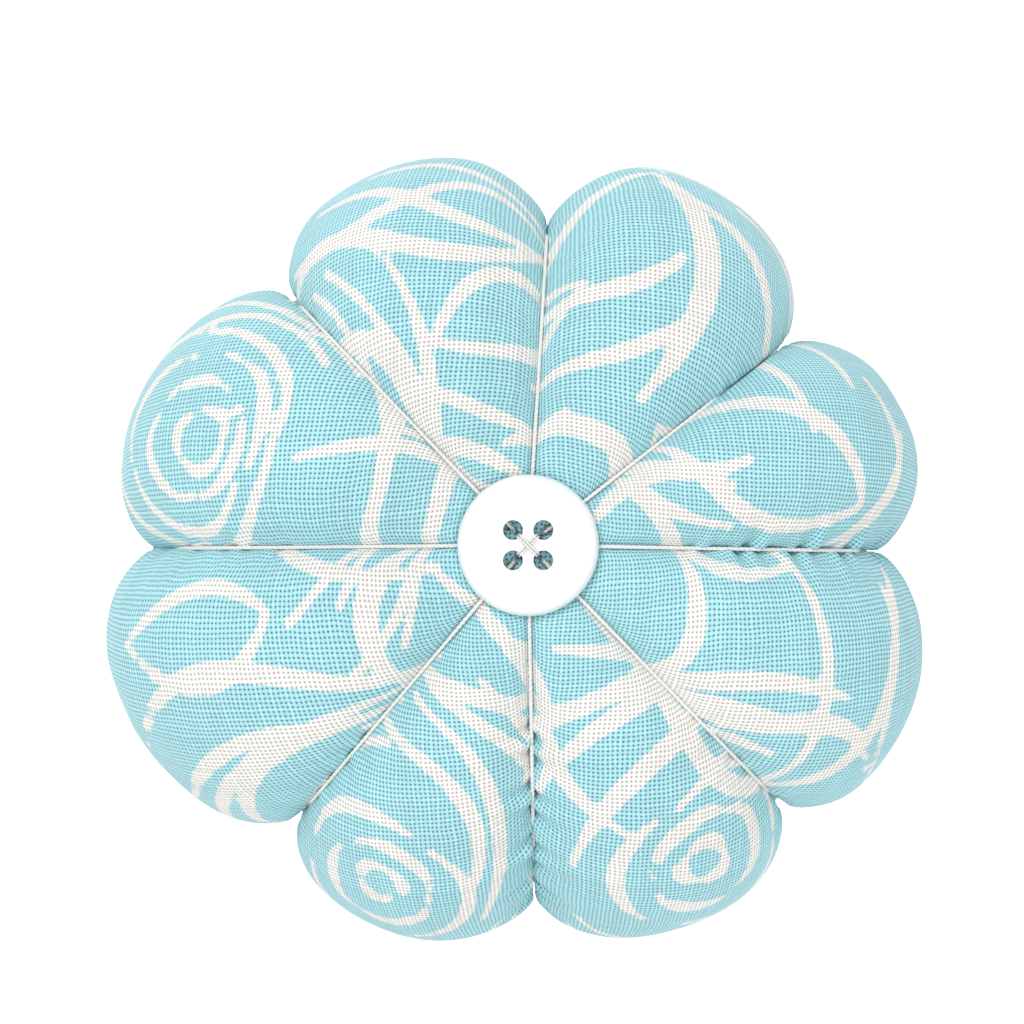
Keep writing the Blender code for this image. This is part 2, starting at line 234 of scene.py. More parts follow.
def weave_group() -> bpy.types.NodeTree:
    """Make or find the plain-weave group.

    It takes a flat place, the pitch of the threads and how much of the pitch a
    thread fills, and gives the threads' height, a painted shade for the gaps
    between them and along their edges, and a tone that differs from thread to thread.

    Returns:
        The node group.
    """
    name = "plain_weave"
    wander_scale, wander_reach = 260.0, 1.15
    edge_power, crossing_lift, height_share = 1.35, 0.42, 0.7
    painted_gap_shade, painted_edge_shade = 0.94, 0.08
    warp_seed, weft_seed = 11.0, 53.0
    if name in bpy.data.node_groups:
        return bpy.data.node_groups[name]
    graph, given, result = new_group(
        name,
        {"Place": "NodeSocketVector", "Pitch": "NodeSocketFloat", "Fill": "NodeSocketFloat"},
        {"Height": "NodeSocketFloat", "Gap": "NodeSocketFloat", "Tone": "NodeSocketFloat"},
    )
    wander = graph.node("ShaderNodeTexNoise")
    graph.feed(wander.inputs["Vector"], given["Place"])
    wander.inputs["Scale"].default_value = wander_scale
    drift = graph.vector("SUBTRACT", wander.outputs["Color"], (0.5, 0.5, 0.5))
    per_metre = graph.math("DIVIDE", 1.0, given["Pitch"])
    even = graph.vector("SCALE", given["Place"], scale=per_metre)
    place = graph.vector("ADD", even, graph.vector("SCALE", drift, scale=wander_reach))
    parts = graph.node("ShaderNodeSeparateXYZ")
    graph.feed(parts.inputs[0], place)
    across = (parts.outputs["X"], parts.outputs["Y"])
    number = [graph.math("FLOOR", value) for value in across]
    girth = graph.math("DIVIDE", 2.0, given["Fill"])
    rounds, edges = [], []
    for value in across:
        middle = graph.math("SUBTRACT", graph.math("FRACT", value), 0.5)
        wide = graph.math("MULTIPLY", middle, girth)
        edge = graph.math("MINIMUM", graph.math("MULTIPLY", wide, wide), 1.0)
        rounds.append(graph.math("SQRT", graph.math("SUBTRACT", 1.0, edge)))
        edges.append(graph.math("POWER", edge, edge_power))
    heights = []
    for index, lift_share in ((0, crossing_lift), (1, -crossing_lift)):
        phase = graph.math("ADD", number[index], across[1 - index])
        wave = graph.math("COSINE", graph.math("MULTIPLY", graph.math("SUBTRACT", phase, 0.5), math.pi))
        lift = graph.scaled(wave, lift_share, 1.0)
        heights.append(graph.math("MULTIPLY", rounds[index], lift))
    top = graph.math("MAXIMUM", *heights)
    graph.feed(result["Height"], graph.math("MULTIPLY", top, height_share))
    # Painted shade: the gaps where threads cross and the threads' edges are darkened, standing in for the
    # shade that falls there.
    hole = graph.math("MULTIPLY", graph.math("MULTIPLY", *edges), painted_gap_shade)
    lines = graph.math("MULTIPLY", graph.math("ADD", *edges), painted_edge_shade)
    graph.feed(result["Gap"], graph.math("ADD", hole, lines))
    tones = []
    for index, start in ((0, warp_seed), (1, weft_seed)):
        random = graph.node("ShaderNodeTexWhiteNoise", noise_dimensions="1D")
        graph.feed(random.inputs["W"], graph.math("ADD", number[index], start))
        tones.append(random.outputs["Value"])
    warp_on_top = graph.math("GREATER_THAN", *heights)
    chosen = graph.math("MULTIPLY", graph.math("SUBTRACT", tones[0], tones[1]), warp_on_top)
    graph.feed(result["Tone"], graph.math("ADD", chosen, tones[1]))
    return graph.tree


def fuzz_group() -> bpy.types.NodeTree:
    """Make or find the group for loose fibres, as on felt, fill and thread.

    It takes a place and a fineness in features per metre, and gives a height
    and a tone.

    Returns:
        The node group.
    """
    name = "fibre_fuzz"
    if name in bpy.data.node_groups:
        return bpy.data.node_groups[name]
    graph, given, result = new_group(
        name,
        {"Place": "NodeSocketVector", "Fineness": "NodeSocketFloat"},
        {"Height": "NodeSocketFloat", "Tone": "NodeSocketFloat"},
    )
    scaled = graph.vector("SCALE", given["Place"], scale=given["Fineness"])
    coarse = graph.noise(scaled, 1.0, 3.0)
    bent = graph.vector("ADD", graph.vector("SCALE", scaled, scale=2.3), coarse)
    fibres = graph.node("ShaderNodeTexWave", wave_type="BANDS", bands_direction="DIAGONAL")
    graph.feed(fibres.inputs["Vector"], bent)
    fibres.inputs["Distortion"].default_value = 14.0
    fibres.inputs["Detail"].default_value = 2.0
    fine = fibres.outputs["Fac"]
    mixed = graph.math("ADD", graph.math("MULTIPLY", fine, 0.5), graph.math("MULTIPLY", coarse, 0.5))
    graph.feed(result["Height"], mixed)
    graph.feed(result["Tone"], coarse)
    return graph.tree


@dataclass(frozen=True)
class Finish:
    """What every material starts from: a Principled shader with plain values."""

    name: str
    colour: tuple[float, float, float]
    roughness: float

    def start(self) -> tuple[bpy.types.Material, Graph, bpy.types.Node]:
        """Make the material.

        Returns:
            The material, its graph and its Principled shader.
        """
        material = bpy.data.materials.new(self.name)
        material.use_nodes = True
        graph = Graph(material.node_tree)
        shader = material.node_tree.nodes["Principled BSDF"]
        shader.inputs["Base Color"].default_value = (*self.colour, 1.0)
        shader.inputs["Roughness"].default_value = self.roughness
        return material, graph, shader

    def group(self, graph: Graph, tree: bpy.types.NodeTree, **values: object) -> bpy.types.Node:
        """Place a shared node group.

        Args:
            graph: the material's graph.
            tree: the node group.
            **values: what its inputs are fed.

        Returns:
            The group's node.
        """
        placed = graph.node("ShaderNodeGroup")
        placed.node_tree = tree
        for key, value in values.items():
            graph.feed(placed.inputs[key], value)
        return placed

    def toned(self, graph: Graph, tone: object, darkest: float) -> bpy.types.NodeSocket:
        """Shade the finish's colour with a tone.

        Args:
            graph: the material's graph.
            tone: a value from 0 to 1.
            darkest: the share of the colour left where the tone is 0.

        Returns:
            The colour's socket.
        """
        dark = tuple(channel * darkest for channel in self.colour)
        return graph.blend(tone, (*dark, 1.0), (*self.colour, 1.0))


@dataclass(frozen=True)
class PrintedCotton(Finish):
    """Pale blue plain-weave cotton with a cream print, painted shade in the gaps between its threads and a
    painted highlight on their crowns.
    """

    cream: tuple[float, float, float] = (0.88, 0.87, 0.83)
    blue_gap_shade: tuple[float, float, float] = (0.05, 0.20, 0.27)
    cream_gap_shade: tuple[float, float, float] = (0.50, 0.42, 0.38)
    pitch: float = 0.42 * MM
    fill: float = 0.86
    ragged: float = 0.14
    print_edge: float = 0.13
    wear: float = 0.22
    thread_tone: float = 0.15
    crown_highlight: float = 0.22
    clouding: float = 0.14
    gap_shade_share: float = 0.95
    relief: float = 0.14 * MM

    def hole(self, cloth: tuple[float, ...], shares: tuple[float, ...]) -> tuple[float, ...]:
        """Return the painted shade colour for the gaps of a cloth, from shares of the cloth's own."""
        return (*(channel * share for channel, share in zip(cloth, shares)), 1.0)

    def material(self) -> bpy.types.Material:
        """Return the material; it reads the cloth UV map and the print attribute."""
        material, graph, shader = self.start()
        place = graph.cloth_place()
        weave = self.group(graph, weave_group(), Place=place, Pitch=self.pitch, Fill=self.fill)
        depth = graph.node("ShaderNodeAttribute", attribute_name="print").outputs["Fac"]
        tone, height, gap = (weave.outputs[label] for label in ("Tone", "Height", "Gap"))
        ragged = graph.math("MULTIPLY", graph.math("SUBTRACT", tone, 0.5), self.ragged)
        inked = graph.step(graph.math("ADD", depth, ragged), -self.print_edge, self.print_edge)
        worn = graph.step(graph.noise(place, 900.0, 4.0), 0.16, 0.42)
        inked = graph.math("MULTIPLY", inked, graph.scaled(worn, self.wear, 1.0 - self.wear))
        cloth = graph.blend(inked, (*self.colour, 1.0), (*self.cream, 1.0))
        # Painted highlight: each thread's tone varies at random, and its crown, where the weave is highest,
        # is painted lighter.
        shade = graph.scaled(tone, self.thread_tone, 1.0 - self.crown_highlight)
        shade = graph.math("ADD", shade, graph.math("MULTIPLY", height, self.crown_highlight))
        cloud = graph.scaled(graph.noise(place, 70.0), self.clouding, 1.0 - self.clouding / 2.0)
        cloth = graph.vector("SCALE", cloth, scale=graph.math("MULTIPLY", shade, cloud))
        # Painted shade: the gaps between threads take a darkened blue or cream, standing in for the shade
        # inside them.
        blue_gap_shade = self.hole(self.colour, self.blue_gap_shade)
        hole = graph.blend(inked, blue_gap_shade, self.hole(self.cream, self.cream_gap_shade))
        cloth = graph.blend(graph.math("MULTIPLY", gap, self.gap_shade_share), cloth, hole)
        graph.feed(shader.inputs["Base Color"], cloth)
        graph.feed(shader.inputs["Normal"], graph.bump(height, self.relief))
        shader.inputs["Sheen Weight"].default_value = 0.25
        shader.inputs["Sheen Roughness"].default_value = 0.4
        shader.inputs["Specular IOR Level"].default_value = 0.25
        return material


@dataclass(frozen=True)
class Fibre(Finish):
    """Matte fibre: sewing thread, loose fill or pressed felt."""

    fineness: float = 2500.0
    relief: float = 0.05 * MM
    darkest: float = 0.82

    def material(self) -> bpy.types.Material:
        """Return the material."""
        material, graph, shader = self.start()
        fuzz = self.group(graph, fuzz_group(), Place=graph.object_place(), Fineness=self.fineness)
        graph.feed(shader.inputs["Base Color"], self.toned(graph, fuzz.outputs["Tone"], self.darkest))
        graph.feed(shader.inputs["Normal"], graph.bump(fuzz.outputs["Height"], self.relief))
        shader.inputs["Sheen Weight"].default_value = 0.35
        shader.inputs["Sheen Roughness"].default_value = 0.5
        shader.inputs["Specular IOR Level"].default_value = 0.2
        return material


@dataclass(frozen=True)
class MouldedPlastic(Finish):
    """Moulded plastic with faint clouding and handling marks."""

    coat: float = 0.0
    relief: float = 0.01 * MM
    darkest: float = 0.93
    marking: float = 0.14

    def material(self) -> bpy.types.Material:
        """Return the material."""
        material, graph, shader = self.start()
        place = graph.object_place()
        cloud = graph.noise(place, 320.0, 3.0)
        graph.feed(shader.inputs["Base Color"], self.toned(graph, cloud, self.darkest))
        marks = graph.step(graph.noise(place, 1500.0, 5.0), 0.35, 0.75)
        graph.feed(shader.inputs["Roughness"], graph.scaled(marks, self.marking, self.roughness))
        graph.feed(shader.inputs["Normal"], graph.bump(cloud, self.relief, 0.4))
        shader.inputs["Coat Weight"].default_value = self.coat
        shader.inputs["Coat Roughness"].default_value = 0.06
        return material


@dataclass(frozen=True)
class RibbedElastic(Finish):
    """Woven elastic: fine cross threads over the ribs that the strap's mesh carries, with painted shade in
    the gaps between the threads.
    """

    pitch: float = 0.55 * MM
    fill: float = 0.92
    gap_shade_share: float = 0.8
    thread_tone: float = 0.3
    darkest: float = 0.62
    relief: float = 0.10 * MM

    def material(self) -> bpy.types.Material:
        """Return the material; it reads the cloth UV map."""
        material, graph, shader = self.start()
        place = graph.cloth_place()
        weave = self.group(graph, weave_group(), Place=place, Pitch=self.pitch, Fill=self.fill)
        # Painted shade: the gaps between the elastic's threads are darkened; each thread's tone also varies
        # at random.
        tone = graph.math("SUBTRACT", 1.0, graph.math("MULTIPLY", weave.outputs["Gap"], self.gap_shade_share))
        varied = graph.scaled(weave.outputs["Tone"], self.thread_tone, 1.0 - self.thread_tone)
        mixed = graph.math("MULTIPLY", tone, varied)
        graph.feed(shader.inputs["Base Color"], self.toned(graph, mixed, self.darkest))
        graph.feed(shader.inputs["Normal"], graph.bump(weave.outputs["Height"], self.relief))
        shader.inputs["Sheen Weight"].default_value = 0.3
        return material


# -------------------------------------------------------------------- meshes
def linked(name: str, data: bpy.types.ID) -> bpy.types.Object:
    """Return a new object that is linked to the scene."""
    item = bpy.data.objects.new(name, data)
    bpy.context.scene.collection.objects.link(item)
    return item


def made_mesh(bm: bmesh.types.BMesh, name: str) -> bpy.types.Mesh:
    """Return a new mesh with a bmesh's faces, and free the bmesh."""
    mesh = bpy.data.meshes.new(name)
    bm.to_mesh(mesh)
    bm.free()
    return mesh


@contextmanager
def edited(mesh: bpy.types.Mesh) -> Iterator[bmesh.types.BMesh]:
    """Open a mesh for bmesh operators, and put the result back in it."""
    bm = bmesh.new()
    bm.from_mesh(mesh)
    yield bm
    bm.to_mesh(mesh)
    bm.free()


def shown(name: str, mesh: bpy.types.Mesh, material: bpy.types.Material) -> bpy.types.Object:
    """Link a finished, smooth-shaded mesh to the scene.

    Args:
        name: the piece's name.
        mesh: its mesh, in place.
        material: its material.

    Returns:
        The object, which sits at the origin.
    """
    mesh.materials.clear()
    mesh.materials.append(material)
    mesh.shade_smooth()
    return linked(name, mesh)


def mesh_points(mesh: bpy.types.Mesh) -> np.ndarray:
    """Return a mesh's vertices as an array of points."""
    points = np.empty(len(mesh.vertices) * 3, np.float32)
    mesh.vertices.foreach_get("co", points)
    return points.reshape(-1, 3).astype(float)


def lay_points(mesh: bpy.types.Mesh, points: np.ndarray) -> None:
    """Move a mesh's vertices to the points given, one row for each."""
    mesh.vertices.foreach_set("co", points.astype(np.float32).ravel())


def corner_vertices(mesh: bpy.types.Mesh) -> np.ndarray:
    """Return the vertex at each of a mesh's face corners."""
    corners = np.empty(len(mesh.loops), np.int32)
    mesh.loops.foreach_get("vertex_index", corners)
    return corners


def map_cloth(mesh: bpy.types.Mesh, flat: np.ndarray) -> None:
    """Write a mesh's flat cloth coordinates, one row for each face corner."""
    mesh.uv_layers.new(name="cloth").uv.foreach_set("vector", flat.astype(np.float32).ravel())


def evaluated_mesh(piece: bpy.types.Object) -> bpy.types.Mesh:
    """Return a copy of an object's mesh as its modifiers or bevel leave it."""
    graph = bpy.context.evaluated_depsgraph_get()
    return bpy.data.meshes.new_from_object(piece.evaluated_get(graph))


def spun_rings(name: str, places: np.ndarray) -> tuple[bpy.types.Mesh, np.ndarray, np.ndarray]:
    """Spin a line of vertices into rings, then lay every ring's points in place.

    Args:
        name: the mesh's name.
        places: where each point goes, by row (along the line) and column (round it).

    Returns:
        The mesh, and each vertex's row and column.
    """
    rows, columns = places.shape[:2]
    bm = bmesh.new()
    line = [bm.verts.new((1.0 + row / rows, 0.0, 0.0)) for row in range(rows)]
    edges = [bm.edges.new(pair) for pair in zip(line, line[1:])]
    spin_all(bm, line + edges, columns)
    mesh = made_mesh(bm, name)
    blank = mesh_points(mesh)
    row = np.rint((np.hypot(blank[:, 0], blank[:, 1]) - 1.0) * rows).astype(int)
    column = spun_column(blank, columns)
    lay_points(mesh, places[row, column])
    mesh.update()
    return mesh, row, column


def spun_column(blank: np.ndarray, columns: int) -> np.ndarray:
    """Return which of a spin's `columns` steps each point belongs to."""
    return np.rint(np.arctan2(blank[:, 1], blank[:, 0]) / math.tau * columns).astype(int) % columns


def spin_all(bm: bmesh.types.BMesh, geometry: list, steps: int) -> None:
    """Spin geometry a full turn round the Z axis, and join the ends.

    Args:
        bm: the mesh being built.
        geometry: its vertices and edges to spin.
        steps: how many steps the turn takes.
    """
    bmesh.ops.spin(
        bm,
        geom=geometry,
        cent=(0.0, 0.0, 0.0),
        axis=(0.0, 0.0, 1.0),
        angle=math.tau,
        steps=steps,
        use_merge=True,
    )


def face_out(mesh: bpy.types.Mesh, outward: np.ndarray) -> None:
    """Flip a mesh's faces if most of them point against the directions given.

    Args:
        mesh: the mesh.
        outward: the outward direction at each vertex.
    """
    normals = np.empty(len(mesh.vertices) * 3, np.float32)
    mesh.vertices.foreach_get("normal", normals)
    if (normals.reshape(-1, 3) * outward).sum() < 0.0:
        mesh.flip_normals()


def turned(name: str, profile: list[tuple[float, float]], steps: int = 96) -> bpy.types.Mesh:
    """Spin a profile that starts and ends on the axis into a closed, turned shape.

    Args:
        name: the mesh's name.
        profile: (radius, height) pairs.
        steps: how many steps the turn takes.

    Returns:
        The mesh, faces out.
    """
    bm = bmesh.new()
    line = [bm.verts.new((radius, 0.0, height)) for radius, height in profile]
    edges = [bm.edges.new(pair) for pair in zip(line, line[1:])]
    spin_all(bm, line + edges, steps)
    bmesh.ops.remove_doubles(bm, verts=bm.verts[:], dist=1e-6)
    bmesh.ops.recalc_face_normals(bm, faces=bm.faces[:])
    return made_mesh(bm, name)


# --------------------------------------------------------------------- lines
def distance_along(line: np.ndarray) -> np.ndarray:
    """Return how far along a line each of its points lies."""
    return np.r_[0.0, np.cumsum(np.linalg.norm(np.diff(line, axis=0), axis=1))]


def spaced(line: np.ndarray, count: int) -> np.ndarray:
    """Return `count` evenly spaced points of a line."""
    along = distance_along(line)
    wanted = np.linspace(0.0, along[-1], count)
    return np.stack([np.interp(wanted, along, axis) for axis in line.T], axis=1)


def even_steps(line: np.ndarray, step: float) -> np.ndarray:
    """Return a line's points at an even spacing of about `step`."""
    return spaced(line, max(2, int(round(distance_along(line)[-1] / step)) + 1))


def stood_up(line: np.ndarray, angle: float, level: float = 0.0) -> np.ndarray:
    """Return a line of radius and height, stood up at an angle round the axis and lifted by `level`."""
    return np.c_[line[:, 0] * math.cos(angle), line[:, 0] * math.sin(angle), level + line[:, 1]]


def plan_axes(direction: float) -> tuple[np.ndarray, np.ndarray]:
    """Return the plan directions along and across a direction given in degrees."""
    angle = math.radians(direction)
    ahead = np.array([math.cos(angle), math.sin(angle)])
    return ahead, np.array([-ahead[1], ahead[0]])


def rise(value: np.ndarray, start: float, length: float) -> np.ndarray:
    """Return a straight rise from 0 where the value is `start` to 1 a `length` further on."""
    return np.clip((value - start) / length, 0.0, 1.0)


def rounded(points: np.ndarray, passes: int) -> np.ndarray:
    """Return a line with its corners cut round, its two ends kept."""
    for _ in range(passes):
        near, far = points[:-1], points[1:]
        cut = np.empty((2 * len(near), 3))
        cut[0::2] = 0.75 * near + 0.25 * far
        cut[1::2] = 0.25 * near + 0.75 * far
        points = np.vstack([points[:1], cut, points[-1:]])
    return points


@dataclass(frozen=True)
class Cord:
    """A twisted thread: plies laid round each other, swept along a line."""

    radius: float = 0.25 * MM
    plies: int = 3
    lay: float = 1.7 * MM
    step: float = 0.18 * MM
    sides: int = 12
    relief: float = 0.16

    def profile(self) -> bpy.types.Object:
        """Return the thread's cross-section as a curve object."""
        outline = bpy.data.curves.new("ply_section", "CURVE")
        outline.dimensions = "2D"
        spline = outline.splines.new("POLY")
        spline.points.add(self.sides - 1)
        for index, point in enumerate(spline.points):
            angle = math.tau * index / self.sides
            reach = self.radius * (1.0 + self.relief * math.cos(self.plies * angle))
            point.co = (reach * math.cos(angle), reach * math.sin(angle), 0.0, 1.0)
        spline.use_cyclic_u = True
        return linked("ply_section", outline)

    def mesh(self, name: str, lines: list[np.ndarray], closed: bool = False) -> bpy.types.Mesh:
        """Sweep the thread along one or more lines.

        Args:
            name: the mesh's name.
            lines: each line's points.
            closed: whether each line runs back to its start.

        Returns:
            One mesh with a closed tube for each line.
        """
        section = self.profile()
        curve = bpy.data.curves.new(name, "CURVE")
        curve.dimensions = "3D"
        curve.bevel_mode = "OBJECT"
        curve.bevel_object = section
        curve.use_fill_caps = True
        for line in lines:
            points = even_steps(line, self.step)
            if closed:
                points = points[:-1]
            spline = curve.splines.new("POLY")
            spline.points.add(len(points) - 1)
            spline.use_cyclic_u = closed
            homogeneous = np.c_[points, np.ones(len(points))].astype(np.float32)
            spline.points.foreach_set("co", homogeneous.ravel())
            twist = np.arange(len(points), dtype=np.float32) * (math.tau * self.step / self.lay)
            spline.points.foreach_set("tilt", twist)
        holder = linked(name, curve)
        mesh = evaluated_mesh(holder)
        bpy.data.objects.remove(holder)
        bpy.data.objects.remove(section)
        with edited(mesh) as bm:
            bmesh.ops.remove_doubles(bm, verts=bm.verts[:], dist=1e-7)
            bmesh.ops.recalc_face_normals(bm, faces=bm.faces[:])
        mesh.name = name
        return mesh


# -------------------------------------------------------------- cloth print
class Motif(Enum):
    """What a mark of the cloth's print shows."""

    ROSE = "rose"
    LEAF = "leaf"
    SWEEP = "sweep"
    RIPPLE = "ripple"


@dataclass(frozen=True)
class Mark:
    """One motif of the print, placed on the flat cloth in millimetres.

    A rose or a ripple has `count` rings, a leaf has up to `count` lines, and a
    sweep bends by `bend` and sways by `sway`, both shares of its size.
    """

    motif: Motif
    x: float
    y: float
    heading: float
    size: float
    weight: float
    bend: float = 0.0
    sway: float = 0.0
    count: int = 3
    thinnest: float = 0.40

    def strokes(self) -> list[np.ndarray]:
        """Return the motif's brush strokes as rows of x, y and half width."""
        makers = {
            Motif.ROSE: self.rose,
            Motif.LEAF: self.leaf,
            Motif.SWEEP: self.sweep,
            Motif.RIPPLE: self.ripple,
        }
        return makers[self.motif]()

    def beside(self, along: np.ndarray, off: np.ndarray) -> tuple[np.ndarray, np.ndarray]:
        """Return the x and y of points that lie along the heading and off it."""
        turn = math.radians(self.heading)
        x = self.x + along * math.cos(turn) - off * math.sin(turn)
        y = self.y + along * math.sin(turn) + off * math.cos(turn)
        return x, y

    def stroke(self, x: np.ndarray, y: np.ndarray, thin: float = 0.35) -> np.ndarray:
        """Return one stroke that swells from both ends.

        Args:
            x: its points' x.
            y: its points' y.
            thin: the share of the full width left at the ends.

        Returns:
            Rows of x, y and half width.
        """
        share = np.linspace(0.0, 1.0, len(x))
        swell = thin + (1.0 - thin) * np.sin(np.pi * np.clip(share * 1.08, 0.0, 1.0)) ** 0.7
        return np.c_[x, y, np.maximum(0.44 * self.weight * swell, self.thinnest)]

    def arc(
        self, x: float, y: float, reach: float, facing: float, half: float, squeeze: float
    ) -> np.ndarray:
        """Return a bowed stroke.

        Args:
            x: the bow's middle.
            y: the bow's middle.
            reach: its radius.
            facing: the direction of the stroke's middle, in radians.
            half: how far it runs to each side, in radians.
            squeeze: how much flatter it is along its facing.

        Returns:
            Rows of x, y and half width.
        """
        angle = np.linspace(-half, half, 24)
        out = squeeze * reach * np.cos(angle) * (1.0 + 0.07 * np.sin(2.0 * angle + reach))
        side = reach * np.sin(angle)
        drawn_x = x + out * math.cos(facing) - side * math.sin(facing)
        drawn_y = y + out * math.sin(facing) + side * math.cos(facing)
        return self.stroke(drawn_x, drawn_y, 0.25)

    def rose(self) -> list[np.ndarray]:
        """Return overlapping petals that open out round an off-centre heart."""
        drawn = []
        turn = math.radians(self.heading)
        for ring in range(self.count):
            reach = self.size * (0.24 + 0.76 * ring / (self.count - 1))
            petals = 3 if ring < 3 else 4
            for petal in range(petals):
                facing = turn + math.tau * petal / petals + 0.85 * ring
                shift = 0.30 * reach
                x = self.x + 0.1 * self.size * ring * math.cos(turn) + shift * math.cos(facing)
                y = self.y + 0.1 * self.size * ring * math.sin(turn) + shift * math.sin(facing)
                half = math.radians(66.0 + 12.0 * math.sin(2.0 * petal + ring))
                drawn.append(self.arc(x, y, 0.78 * reach, facing, half, 0.86))
        return drawn

    def ripple(self) -> list[np.ndarray]:
        """Return bowed strokes one behind another, in front of the heading."""
        drawn = []
        turn = math.radians(self.heading)
        for ring in range(self.count):
            reach = self.size * (1.0 + self.bend * ring)
            lean = turn + self.sway * math.sin(2.3 * ring + self.x)
            half = math.radians(54.0 - 5.0 * (ring % 2) - 2.0 * ring)
            drawn.append(self.arc(self.x, self.y, reach, lean, half, 1.0))
        return drawn

    def leaf(self) -> list[np.ndarray]:
        """Return a leaf's edges and its rib, out along the heading."""
        share = np.linspace(0.0, 1.0, 22)
        drawn = []
        for side in (0.26, -0.22, 0.03)[: self.count]:
            length = self.size * (0.75 if abs(side) < 0.1 else 1.0)
            along = share * length
            off = self.size * (side * np.sin(np.pi * share**0.85) + self.bend * share * (1.0 - share))
            drawn.append(self.stroke(*self.beside(along, off), 0.45))
        return drawn

    def sweep(self) -> list[np.ndarray]:
        """Return one long bent stroke out along the heading."""
        share = np.linspace(0.0, 1.0, 26)
        off = self.size * (self.bend * np.sin(np.pi * share) + self.sway * np.sin(math.tau * share))
        return [self.stroke(*self.beside(share * self.size, off))]


